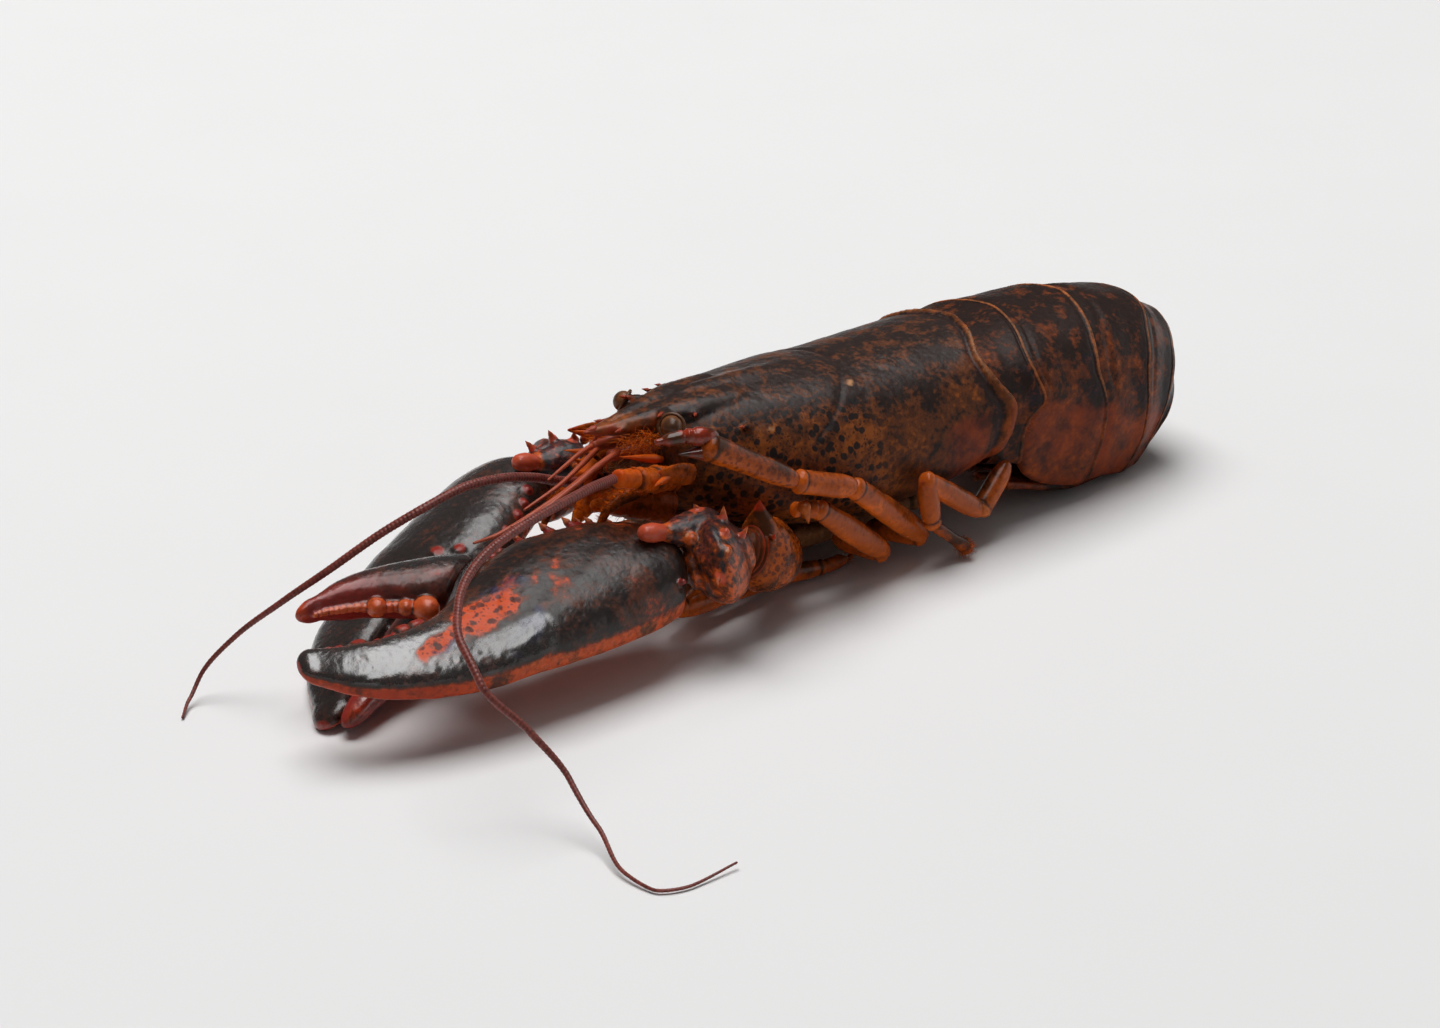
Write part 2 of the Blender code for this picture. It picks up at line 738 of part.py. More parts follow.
def build_left_claw():
    palm = claw_skin("claw_left", LEFT, CRUSHER_PALM, CRUSHER_PALM_TIP, RING_CLAW, 18, 3.4)
    parts = [palm]
    for a, size in ((24.0, 1.5), (17.6, 1.5), (12.4, 1.3), (8.6, 1.2)):
        inner = curve(((0.0, 16.6), (6.0, 20.4), (14.0, 21.8), (27.0, 21.4)))(a)
        parts.append(cone("spine", LEFT.at(a, inner - 0.6, 3.0),
                          LEFT.at(a + 1.6, inner + 3.2, 4.4), size))
    for a, b, radius in ((58.6, 1.4, 2.2), (64.4, -0.6, 2.4), (70.0, -1.0, 1.5), (74.6, -0.6, 1.9)):
        parts.append(ball("molar", LEFT.at(a, b + 0.7, 0.4), radius, 7, 4))
    for a, b, radius in ((33.6, 19.4, 1.3), (36.6, 16.6, 1.4), (0.2, -4.4, 1.2)):
        parts.append(ball("knob", LEFT.at(a, b, 4.0), radius, 6, 4))
    palm = fuse("claw_left", parts)
    finger = claw_skin("finger_left", LEFT, CRUSHER_FINGER, CRUSHER_FINGER_TIP, 12, 11, 0.0, -0.2)
    parts = [finger]
    for a, b, radius in ((55.4, 9.4, 3.2), (60.2, 11.0, 1.7), (64.4, 11.8, 2.4), (68.4, 12.8, 1.3),
                         (70.8, 13.1, 1.1), (73.0, 13.0, 1.0), (75.2, 12.8, 0.8)):
        parts.append(ball("tooth", LEFT.at(a, b + 0.8, 0.2), radius, 8 if radius > 2.0 else 6, 4))
    finger = fuse("finger_left", parts)
    return [paint(palm, "claw", 0.3), paint(finger, "claw", 0.3)]


def build_right_claw():
    palm = claw_skin("claw_right", RIGHT, CUTTER_PALM, CUTTER_PALM_TIP, RING_CLAW, 18, 3.0)
    parts = [palm]
    for a, size in ((4.0, 1.3), (9.0, 1.3), (14.6, 1.2), (21.0, 1.2), (28.0, 1.2)):
        inner = curve(((0.0, 9.8), (6.0, 11.2), (19.0, 11.4), (30.0, 10.4)))(a)
        parts.append(ball("knob", RIGHT.at(a, inner - 0.6, 1.2), size + 0.5, 6, 4))
    palm = fuse("claw_right", parts)
    finger = claw_skin("finger_right", RIGHT, CUTTER_FINGER, CUTTER_FINGER_TIP, 12, 11, 0.0, 0.8)
    return [paint(palm, "claw", 0.3), paint(finger, "claw", 0.3)]


def build_arm(word, side, frame, palm, centre, elbow, middle, shoulder, bulge, knob):
    """Carpus and merus of one claw arm."""
    wrist = frame.wrist - frame.along * 6.0 + frame.inner * 4.0
    a, b, c = Vector(wrist), Vector(centre), Vector(elbow)
    knots = [tuple(a) + (6.0, 5.4), tuple(a.lerp(b, 0.45)) + (9.2, 8.4), tuple(b) + (10.0, 9.6),
             tuple(b.lerp(c, 0.6)) + (8.0, 8.6), tuple(c) + (4.4, 5.2)]
    body = tube("carpus", spline_points(knots, 8), 12, (0, 0, 1), (0.35, 0.5), (c - a).normalized())
    parts = [body]
    out = Vector((0.0, side, 0.0))
    up = Vector((0.0, 0.0, 1.0))
    forward = (a - b).normalized()
    parts.append(ball("knob", knob, 2.7, 8, 6, (1.25, 1.0, 0.95)))
    parts.append(bar("stem", Vector(bulge), Vector(knob), 5.8, 3.6, 2.3))
    for along, swing, lift in ((0.15, -0.55, 0.85), (0.75, -0.35, 0.95), (-0.1, 0.25, 1.0),
                               (0.35, 0.75, 0.7), (0.1, 0.98, 0.2), (-0.6, -0.3, 0.95)):
        way = (out * swing + up * lift).normalized()
        foot = b + forward * along * 8.0
        reach = 8.4 - 1.2 * abs(along)
        tall = 3.2 if side < 0 else 1.8
        parts.append(cone("spine", foot + way * reach, foot + way * (reach + tall) + forward * 1.8, 1.36))
    carpus = fuse("carpus_" + word, parts, "MANIFOLD")
    carve(carpus, [palm], NODE_GAP)
    d, e = Vector(middle), Vector(shoulder)
    back = (d - c).normalized()
    start = c + back * 5.6
    knots = [tuple(start) + (5.0, 6.6), tuple(start.lerp(d, 0.4)) + (6.6, 8.8),
             tuple(d) + (5.4, 7.0), tuple(e) + (3.0, 3.0)]
    parts = [tube("merus", spline_points(knots, 7), 10, (0, 0, 1), (0.45, 0.6))]
    for t, lift, lean, radius in ((0.16, 8.6, -0.1, 2.0), (0.3, 7.0, 0.9, 1.4)):
        foot = start.lerp(d, t)
        way = (up + out * lean).normalized()
        parts.append(cone("spine", foot + way * (lift - 2.4), foot + way * (lift + 3.0) - back * 3.0, radius))
    merus = fuse("merus_" + word, parts)
    return [paint(carpus, "claw", 0.35), paint(merus, "limb", 0.4)]


# Walking legs

def leg(name, joints, radii, tip=None):
    """Fused joints of one leg; radii has (start, middle, end) for each joint."""
    parts = []
    for i, (a, b) in enumerate(zip(joints, joints[1:])):
        r0, rm, r1 = radii[i]
        parts.append(bar(name + "_j", a, b, r0, rm, r1))
    if tip:
        parts.append(cone("tip", tip[0], tip[1], tip[2]))
    return paint(fuse(name, parts), "limb", 0.45)


LEG_2 = ((-78.0, -12.4, 10.6), (-96.0, -20.6, 7.2), (-82.0, -18.6, 5.8), (-65.0, -16.2, 4.4),
         (-51.5, -16.4, 2.7), (-41.4, -14.6, 1.7))
LEG_3 = ((-34.6, -12.8, 6.6), (-26.6, -22.4, 5.8), (-52.0, -27.4, 26.8), (-68.3, -27.2, 32.8),
         (-91.0, -24.4, 46.3))
LEG_3_RIGHT = ((-34.6, -12.8, 6.6), (-26.6, -22.4, 5.8), (-47.0, -28.4, 21.0), (-60.0, -32.2, 25.6),
               (-56.0, -34.0, 8.6), (-48.0, -36.0, 1.2))
LEG_3_THUMB = ((-88.6, -24.2, 48.0), (-95.4, -22.4, 49.2), (-102.0, -20.5, 48.9))
LEG_3_POINT = ((-89.6, -24.2, 44.6), (-97.4, -22.0, 45.4), 2.3)
LEG_4 = ((-44.4, -12.6, 6.6), (-39.2, -23.6, 5.6), (-62.0, -27.0, 24.2), (-67.6, -25.2, 25.0))
LEG_4_POINT = ((-66.8, -28.0, 26.4), (-66.4, -29.2, 22.6), 1.5)
LEG_5 = ((-3.6, -22.8, 13.2), (-11.0, -24.6, 8.3), (-31.6, -28.4, 23.2), (-28.6, -28.0, 11.0),
         (-18.4, -29.2, 2.4))


def build_legs():
    made = []
    for side, word in ((-1.0, "left"), (1.0, "right")):
        def place(points):
            return [(x, y if side < 0 else -y, z) for x, y, z in points]

        def point(row):
            base, tip = place(row[:2])
            return (base, tip, row[2])

        radii = ((3.0, 2.8, 2.7), (2.7, 2.9, 2.6), (2.6, 2.6, 2.5), (2.5, 2.4, 2.1), (2.1, 1.8, 0.7))
        made.append(leg("leg_2_" + word, place(LEG_2), radii))
        radii = [(3.0, 3.0, 3.2), (3.3, 3.3, 3.0), (3.1, 3.0, 3.1), (2.9, 3.0, 3.5)]
        if side < 0:
            parts = [leg("leg_3_" + word, place(LEG_3), radii, point(LEG_3_POINT))]
            parts.append(leg("thumb", place(LEG_3_THUMB), ((2.2, 2.4, 2.0), (2.0, 1.6, 0.8))))
            made.append(paint(fuse("leg_3_" + word, parts), "limb", 0.45))
        else:
            radii = radii[:3] + [(2.7, 2.3, 2.4), (2.2, 1.8, 0.8)]
            made.append(leg("leg_3_" + word, place(LEG_3_RIGHT), radii))
        radii = ((3.0, 3.0, 3.0), (3.2, 3.2, 2.7), (2.5, 2.2, 2.0))
        tip = point(LEG_4_POINT) if side < 0 else None
        made.append(leg("leg_4_" + word, place(LEG_4), radii, tip))
        radii = ((3.0, 3.3, 3.2), (3.0, 2.9, 2.6), (2.6, 2.9, 2.5), (1.6, 1.5, 2.1))
        made.append(leg("leg_5_" + word, place(LEG_5), radii))
    return made


# Head

ANTENNA_LEFT = ((-110.8, -16.9, 41.5, 1.35), (-122.5, -22.7, 44.0, 1.3), (-139.8, -29.1, 45.0, 1.2),
                (-152.9, -33.2, 44.0, 1.15), (-161.5, -37.1, 42.0, 1.15), (-168.4, -43.1, 39.5, 1.1),
                (-173.4, -51.4, 35.5, 1.05), (-173.9, -58.4, 30.0, 1.0), (-167.2, -65.5, 19.8, 0.9),
                (-163.2, -73.0, 11.0, 0.75), (-163.4, -82.2, 4.9, 0.62), (-166.4, -94.8, 1.5, 0.5),
                (-165.0, -103.0, 0.75, 0.45), (-158.0, -106.0, 0.7, 0.4), (-146.9, -105.5, 1.4, 0.3))
ANTENNA_RIGHT = ((-102.8, 6.7, 30.1, 1.35), (-111.1, 3.2, 34.0, 1.3), (-120.0, 1.3, 38.0, 1.25),
                 (-129.0, -0.8, 41.0, 1.2), (-138.6, -2.2, 42.4, 1.15), (-148.4, -2.7, 41.0, 1.1),
                 (-158.2, -0.2, 36.8, 1.05), (-168.6, 3.7, 30.2, 1.0), (-178.2, 10.0, 22.2, 0.85),
                 (-186.1, 17.2, 13.4, 0.7), (-192.2, 20.2, 6.4, 0.6), (-197.1, 18.3, 1.8, 0.5),
                 (-201.3, 14.1, 0.5, 0.35))
STALK_LEFT = ((-91.8, -11.4, 34.4, 3.2), (-96.0, -13.0, 36.0, 3.5), (-100.6, -14.4, 37.6, 3.1),
              (-105.0, -15.4, 39.4, 2.8), (-109.4, -16.4, 41.0, 2.1))
STALK_RIGHT = ((-91.8, 11.4, 33.8, 3.2), (-95.6, 10.8, 32.4, 3.2), (-98.8, 9.2, 30.8, 2.7),
               (-101.2, 7.8, 30.0, 2.1))
JAW_LEFT = ((-90.2, -8.8, 26.4, 3.2, 3.9), (-94.0, -8.8, 28.0, 3.2, 4.0), (-99.5, -7.6, 29.4, 2.6, 3.6),
            (-104.4, -6.0, 30.0, 1.9, 2.3), (-107.2, -4.8, 29.8, 1.1, 1.4))
JAW_RIGHT = ((-90.8, 8.8, 21.6, 2.8, 3.2), (-94.0, 9.4, 23.2, 2.8, 3.4), (-98.0, 9.2, 23.4, 2.4, 3.0),
             (-101.6, 8.2, 21.8, 1.8, 2.2), (-103.4, 7.6, 20.4, 1.1, 1.3))
FEELER_PAIR = (
    ((-100.0, -2.6, 39.3, 0.95), (-108.0, -4.6, 38.0, 0.85), (-118.2, -7.4, 36.2, 0.75),
     (-135.7, -9.9, 33.2, 0.6), (-141.2, -8.2, 32.0, 0.35)),
    ((-100.0, -3.8, 40.2, 0.9), (-107.0, -6.4, 40.0, 0.8), (-116.0, -9.8, 38.8, 0.7),
     (-128.0, -12.2, 36.4, 0.55), (-134.0, -12.0, 35.2, 0.35)),
)
FEELER_PAIR_RIGHT = (
    ((-100.0, 2.8, 39.3, 0.9), (-108.0, -1.2, 38.4, 0.7), (-117.0, -4.8, 37.0, 0.6), (-127.0, -6.8, 35.2, 0.35)),
    ((-100.0, 3.8, 39.9, 0.85), (-106.0, 1.6, 39.8, 0.7), (-112.0, -0.8, 39.2, 0.55), (-118.0, -3.0, 38.4, 0.3)),
)


def round_rows(knots):
    return [tuple(k) + (k[3],) for k in knots]


def build_feelers():
    """The two long antennae and the forked short ones."""
    made = []
    for name, knots in (("antenna_left", ANTENNA_LEFT), ("antenna_right", ANTENNA_RIGHT)):
        made.append(paint(tube(name, spline_points(round_rows(knots), 28), 5, caps=(0.3, 0.9)), "feeler", 0.4))
    for side, word, pair in ((-1.0, "left", FEELER_PAIR), (1.0, "right", FEELER_PAIR_RIGHT)):
        stem = ((-91.0, side * 3.4, 38.6, 2.3), (-96.0, side * 3.3, 39.3, 2.1), (-101.4, side * 3.2, 39.6, 1.7))
        parts = [tube("stem", spline_points(round_rows(stem), 4), 7, caps=(0.5, 0.6))]
        for knots in pair:
            parts.append(tube("branch", spline_points(round_rows(knots), 8), 5))
        made.append(paint(fuse("antennule_" + word, parts), "feeler", 0.4))
    return made


def build_head():
    made = []
    sides = ((-1.0, "left", STALK_LEFT, JAW_LEFT), (1.0, "right", STALK_RIGHT, JAW_RIGHT))
    for side, word, stalk, jaw in sides:
        eye = ball("eye_" + word, (EYE_CENTRE[0], -side * EYE_CENTRE[1], EYE_CENTRE[2]), EYE_RADIUS, 10, 6)
        made.append(paint(eye, "eye", 0.15))
        x, y, z, r = stalk[1]
        parts = [tube("stalk", spline_points(round_rows(stalk), 7), 8, caps=(0.5, 0.2))]
        parts.append(cone("spine", (x + 1.0, y + side * r * 0.7, z + 0.6), (x - 5.0, y + side * (r + 2.6), z + 1.6), 1.4))
        x, y, z, r = stalk[2]
        parts.append(cone("spine", (x, y + side * r * 0.2, z + r * 0.7), (x - 4.4, y + side * r * 0.3, z + r + 1.8), 1.1))
        made.append(paint(fuse("antenna_base_" + word, parts), "limb", 0.45))
        scale = cone("scale_" + word, (-95.0, side * 8.2, 39.0), (-103.4, side * 8.8, 42.0), 1.3, 6)
        made.append(paint(scale, "limb", 0.45))
        limb = tube("jaw_leg_" + word, spline_points(jaw, 7), 8, caps=(0.3, 0.9))
        made.append(paint(limb, "limb", 0.45))
    return made


def settle_on_floor(objects):
    """Put the origin under the middle of the whole, on the floor."""
    low = Vector((1e9, 1e9, 1e9))
    high = -low
    for obj in objects:
        for vert in obj.data.vertices:
            for k in range(3):
                low[k] = min(low[k], vert.co[k])
                high[k] = max(high[k], vert.co[k])
    shift = Vector((-(low.x + high.x) / 2.0, -(low.y + high.y) / 2.0, -low.z))
    for obj in objects:
        obj.data.transform(Matrix.Translation(shift))


def main():
    for obj in list(bpy.data.objects):
        bpy.data.objects.remove(obj)
    made = [build_carapace()] + build_thorax()
    made += build_tail()
    left = build_left_claw()
    right = build_right_claw()
    made += left + right
    made += build_arm("left", -1.0, LEFT, left[0], (-92.6, -30.2, 21.6), (-85.0, -29.6, 22.0),
                      (-70.4, -23.4, 13.4), (-62.0, -16.6, 9.8), (-92.4, -24.6, 26.4), (-105.4, -23.4, 29.8))
    made += build_arm("right", 1.0, RIGHT, right[0], (-93.2, 32.4, 18.4), (-85.0, 30.0, 18.6),
                      (-67.0, 25.4, 12.0), (-58.0, 19.0, 9.4), (-93.4, 25.0, 25.6), (-105.2, 24.6, 29.2))
    made += build_legs()
    made += build_feelers()
    made += build_head()
    settle_on_floor(made)


main()
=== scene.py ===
# A raw lobster on a pale floor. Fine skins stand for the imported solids, in the same places.
import math

import bpy
import numpy as np
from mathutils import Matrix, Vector


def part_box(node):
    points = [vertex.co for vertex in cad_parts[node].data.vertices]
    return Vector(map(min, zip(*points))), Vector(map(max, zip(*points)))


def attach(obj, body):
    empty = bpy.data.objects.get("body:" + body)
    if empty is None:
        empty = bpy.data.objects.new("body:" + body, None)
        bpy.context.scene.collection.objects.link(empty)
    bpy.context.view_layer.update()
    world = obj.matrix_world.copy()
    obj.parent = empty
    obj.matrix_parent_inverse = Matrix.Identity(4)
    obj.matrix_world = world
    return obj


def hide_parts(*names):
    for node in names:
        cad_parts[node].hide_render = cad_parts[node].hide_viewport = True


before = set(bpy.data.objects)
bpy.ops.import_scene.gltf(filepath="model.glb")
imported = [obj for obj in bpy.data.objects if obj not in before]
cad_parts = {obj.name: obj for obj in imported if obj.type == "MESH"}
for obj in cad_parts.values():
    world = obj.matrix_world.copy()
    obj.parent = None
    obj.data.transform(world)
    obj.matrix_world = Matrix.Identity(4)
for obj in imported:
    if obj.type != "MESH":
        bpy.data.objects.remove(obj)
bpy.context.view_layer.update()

MM = 0.001
EYE_RADIUS = 2.4
EYE_CENTRE = (-88.9, -8.8, 45.2)
EYE_LOW, EYE_HIGH = (np.array(corner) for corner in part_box("eye_left"))
# Shapes are in design millimetres: +X to the tail, -Y the animal's left, +Z up
OFFSET = 0.5 * (EYE_LOW + EYE_HIGH) - np.array(EYE_CENTRE) * MM

# Body
SHELL_FRONT = -87.0
SHELL_CORE_X = -2.4
ROSTRUM_TIP = (-106.5, 0.0, 45.4)
RIM_PROUD = 0.7
PLATE_HANG = 5.0
FLOOR_CLEAR = 0.05
RING_GAP = 0.24
CORE_GAP = 0.9
SIDES = ((-1.0, "left"), (1.0, "right"))
BODY_MIDDLE = 26.0
KEEL_HEIGHT = 1.3
GROOVE_SINK = 0.75
MARGIN_LIFT = 0.85
MARGIN_SINK = 0.42
ROSTRUM_HOLLOW = 0.9
EYE_ROOM = 0.3
SHELL_SCARS = (
    (1.0, ((-41.3, -12.7, 44.2), (-40.6, -12.2, 44.6)), 0.9),
    (0.9, ((-66.8, -15.7, 41.0), (-66.2, -15.9, 40.8)), 0.6),
)
CARAPACE_ROWS = (
    (-87.0, 9.0, 44.5, 33.0, 24.0),
    (-82.0, 13.2, 46.6, 33.0, 21.0),
    (-74.0, 17.0, 47.6, 31.0, 17.5),
    (-62.0, 20.8, 47.4, 29.0, 13.5),
    (-48.0, 23.2, 47.2, 27.5, 11.2),
    (-36.0, 24.0, 46.2, 26.8, 10.2),
    (-18.0, 24.2, 46.4, 26.4, 11.6),
    (0.0, 24.2, 46.4, 28.0, 16.6),
)
REAR_ROWS = (
    (0.0, 1.6), (16.0, -0.8), (40.0, -4.7), (56.0, -3.4), (80.0, 0.4), (92.0, -0.7),
    (106.0, -2.0), (125.0, -1.6), (145.0, -3.4), (180.0, -5.4),
)
ROSTRUM_ROWS = (
    (-107.0, 0.35, 45.6, 45.0),
    (-103.0, 1.3, 46.0, 43.9),
    (-97.0, 2.9, 46.8, 42.4),
    (-89.0, 5.4, 47.9, 41.4),
    (-80.0, 8.2, 48.8, 40.4),
    (-68.0, 9.0, 48.4, 40.0),
)

# Tail
FAN_HINGE = 57.0
TAIL_ROWS = (
    (0.0, 3.4, 44.6, 2.6, 17.0, 22.2),
    (1.0, 15.2, 45.6, 6.5, 15.5, 23.0),
    (2.0, 39.5, 43.9, 26.0, 4.4, 22.2),
    (3.0, 57.6, 38.5, 39.0, 1.4, 20.0),
    (4.0, 64.8, 30.8, 45.4, 0.3, 18.0),
    (5.0, 64.6, 20.0, 49.0, 1.8, 16.2),
    (6.0, 58.6, 9.8, 52.6, 4.6, 14.2),
)
WAVE_ROWS = (
    (0.0, -0.10, -0.17, -0.10, -0.30, -0.20),
    (20.0, -0.25, -0.25, -0.20, -0.45, -0.20),
    (53.0, -0.48, -0.31, -0.38, -0.50, -0.10),
    (70.0, -0.39, -0.29, -0.38, -0.40, 0.00),
    (85.0, -0.16, -0.17, -0.25, -0.20, 0.10),
    (93.0, -0.06, -0.08, -0.09, 0.10, 0.20),
    (105.0, -0.52, 0.02, 0.20, 0.46, 0.24),
    (117.0, -0.66, 0.07, 0.42, 0.60, 0.26),
    (135.0, -0.45, 0.06, 0.35, 0.56, 0.20),
    (180.0, 0.00, 0.00, 0.10, 0.20, 0.05),
)
FLANK_ROWS = (
    (0.0, 1.0, 1.0),
    (0.25, 0.985, 0.52),
    (0.5, 0.93, 0.06),
    (0.6, 0.86, 0.0),
    (0.75, 0.76, 0.30),
    (1.0, 0.0, 0.40),
)

# Claws
LEFT_WRIST = (-103.0, -28.0, 18.6)
LEFT_TIP = (-186.0, -12.0, 20.6)
LEFT_ROLL = 10.0
RIGHT_WRIST = (-103.5, 33.0, 20.5)
RIGHT_TIP = (-176.4, -9.2, 3.4)
RIGHT_ROLL = 6.0
CRUSHER_PALM = (
    (0.00, -3.4, 0.0, -3.8, 8.5, 4.8, 4.4),
    (0.05, 0.0, -5.0, -2.0, 14.5, 7.4, 5.6),
    (0.13, 8.0, -8.4, 4.0, 19.6, 8.6, 6.0),
    (0.25, 19.0, -11.2, 14.0, 21.8, 9.2, 6.0),
    (0.38, 31.0, -13.8, 27.0, 21.2, 8.6, 5.6),
    (0.48, 40.0, -15.4, 36.6, 17.0, 7.6, 5.2),
    (0.58, 50.0, -16.4, 48.4, 7.2, 6.4, 4.8),
    (0.67, 58.0, -16.6, 57.0, 1.2, 5.6, 4.4),
    (0.79, 69.0, -15.0, 69.0, -1.8, 4.8, 3.8),
    (0.90, 78.0, -11.6, 77.5, -1.2, 3.8, 3.2),
    (0.97, 84.2, -7.0, 83.0, 0.6, 2.8, 2.5),
)
CRUSHER_PALM_TIP = (87.2, -2.2, 0.6)
CRUSHER_FINGER = (
    (0.00, 38.6, 18.4, 48.4, 9.4, 4.4, 4.4),
    (0.06, 40.8, 20.0, 50.2, 8.4, 5.6, 5.4),
    (0.18, 46.6, 20.8, 53.4, 8.8, 6.0, 5.6),
    (0.34, 53.6, 21.4, 58.0, 10.4, 5.6, 5.2),
    (0.55, 62.0, 21.6, 64.8, 12.6, 4.9, 4.6),
    (0.75, 70.2, 20.0, 70.6, 13.4, 4.1, 3.9),
    (0.90, 76.6, 17.2, 75.4, 13.9, 2.8, 2.6),
)
CRUSHER_FINGER_TIP = (81.4, 13.8, 0.4)
CUTTER_PALM = (
    (0.00, -3.4, -3.0, -3.6, 5.5, 4.6, 4.4),
    (0.05, 0.5, -9.4, -1.5, 9.4, 7.0, 5.8),
    (0.14, 9.0, -13.8, 6.0, 11.2, 8.0, 6.4),
    (0.28, 22.0, -16.2, 19.0, 11.4, 8.0, 6.4),
    (0.40, 32.0, -17.8, 30.0, 10.4, 7.6, 6.2),
    (0.49, 39.0, -19.0, 38.0, 7.4, 7.0, 5.8),
    (0.58, 49.0, -20.4, 47.4, 0.6, 6.2, 5.2),
    (0.68, 58.0, -20.0, 57.0, -2.2, 5.4, 4.6),
    (0.80, 68.0, -17.6, 67.5, -2.2, 4.6, 3.9),
    (0.91, 78.4, -12.6, 76.5, -0.6, 3.6, 3.2),
    (0.97, 86.0, -7.0, 83.5, 1.0, 2.8, 2.5),
)
CUTTER_PALM_TIP = (90.8, -1.4, 0.0)
CUTTER_FINGER = (
    (0.00, 39.6, 9.6, 47.6, 2.0, 4.2, 4.2),
    (0.06, 41.6, 11.4, 49.4, 1.0, 5.2, 5.2),
    (0.20, 47.4, 12.4, 53.6, -0.4, 5.6, 5.2),
    (0.40, 56.0, 12.2, 60.0, -0.9, 5.0, 4.8),
    (0.62, 65.6, 11.0, 67.0, -0.9, 4.3, 4.0),
    (0.82, 75.8, 8.8, 75.0, -0.3, 3.5, 3.0),
    (0.94, 83.6, 7.0, 82.4, 1.4, 2.6, 2.2),
)
CUTTER_FINGER_TIP = (90.6, 2.8, -0.6)
CRUSHER_DROP = 3.4
CUTTER_DROP = 3.0
CUP_PITCH = 1.5
COLLAR_PITCH = 2.1

# Upper end of the crusher's orange band: along, height
CRUSHER_BORDER = ((0.0, 0.22), (10.0, 0.20), (30.0, 0.22), (40.0, 0.34), (50.0, 0.48), (60.0, 0.48),
                  (84.0, 0.42))

# Spines, bumps and teeth of the claws: along, inward, radius; the cutter's knobs have a height too
CRUSHER_SPINES = ((28.2, 20.6, 1.5), (20.8, 22.4, 1.7), (15.1, 22.8, 1.7), (12.6, 22.2, 0.9),
                  (10.4, 21.4, 1.5), (6.2, 19.6, 1.2))
CRUSHER_BALLS = ((59.2, 1.0, 1.7), (62.8, 0.0, 1.8), (73.4, -1.7, 1.7), (66.4, -1.2, 1.0), (69.2, -1.6, 0.9),
                 (77.4, -1.0, 0.8), (79.6, -0.7, 0.7))
CRUSHER_KNOBS = ((33.7, 18.0, 1.2), (38.0, 15.2, 1.3), (36.0, 17.4, 0.8), (0.4, -4.6, 0.8))
CRUSHER_TEETH = ((54.6, 7.6, 2.9), (57.0, 9.4, 1.3), (58.6, 9.5, 1.8), (60.3, 10.5, 1.3), (61.7, 10.8, 1.3),
                 (64.3, 11.5, 2.2), (66.8, 12.4, 1.15), (68.3, 12.7, 1.05), (69.8, 12.9, 1.0),
                 (71.2, 13.0, 0.95), (72.6, 13.1, 0.9), (73.9, 13.2, 0.85), (75.1, 13.2, 0.8),
                 (76.3, 13.1, 0.75), (77.4, 13.0, 0.65))
CUTTER_KNOBS = ((4.4, 8.4, 4.6, 1.2), (8.5, 9.2, 4.6, 1.2), (12.6, 10.0, 3.8, 1.2), (16.6, 10.2, 3.4, 1.1),
                (22.6, 10.2, 3.2, 1.1))
CUTTER_FLAT_KNOBS = ((-135.6, 14.8, 19.5), (-131.4, 12.4, 19.8))

# Walking legs, for the left side
LEG_2 = ((-78.0, -12.4, 10.6), (-96.0, -20.6, 7.2), (-82.0, -18.6, 5.8), (-65.0, -16.2, 4.4),
         (-51.5, -16.4, 2.7), (-41.4, -14.6, 1.7))
LEG_3 = ((-34.6, -12.8, 6.6), (-26.6, -22.4, 5.8), (-52.0, -27.4, 26.8), (-68.3, -27.2, 32.8),
         (-91.0, -24.4, 46.3))
LEG_3_RIGHT = ((-34.6, -12.8, 6.6), (-26.6, -22.4, 5.8), (-47.0, -28.4, 21.0), (-60.0, -32.2, 25.6),
               (-56.0, -34.0, 8.6), (-48.0, -36.0, 1.2))
LEG_3_THUMB = ((-88.6, -24.2, 48.0), (-95.4, -22.4, 49.2), (-102.0, -20.5, 48.9))
LEG_3_POINT = ((-89.6, -24.2, 44.6), (-97.4, -22.0, 45.4), 2.3)
LEG_4 = ((-44.4, -12.6, 6.6), (-39.2, -23.6, 5.6), (-62.0, -27.0, 24.2), (-67.6, -25.2, 25.0))
LEG_4_POINT = ((-66.8, -28.0, 26.4), (-66.4, -29.2, 22.6), 1.5)
LEG_5 = ((-1.4, -22.8, 16.8), (-11.0, -24.6, 8.3), (-31.6, -28.4, 23.2), (-28.6, -28.0, 11.0),
         (-18.4, -29.2, 2.4))

# Radii of each leg joint: start, middle, end
THUMB_RADII = ((2.2, 2.4, 2.0), (2.0, 1.6, 0.8))
LEG_2_RADII = ((3.0, 2.8, 2.7), (2.7, 2.9, 2.6), (2.6, 2.6, 2.5), (2.5, 2.4, 2.1), (2.1, 1.8, 0.7))
LEG_3_RADII = ((3.0, 3.0, 3.2), (3.3, 3.3, 3.0), (3.1, 3.0, 3.1), (2.9, 3.0, 3.5))
LEG_3_RIGHT_RADII = LEG_3_RADII[:3] + ((2.7, 2.3, 2.4), (2.2, 1.8, 0.8))
LEG_4_RADII = ((3.0, 3.0, 3.0), (3.2, 3.2, 2.7), (2.5, 2.2, 2.0))
LEG_5_RADII = ((2.8, 3.0, 3.1), (3.0, 2.9, 2.6), (2.6, 2.9, 2.5), (1.6, 1.4, 1.9))

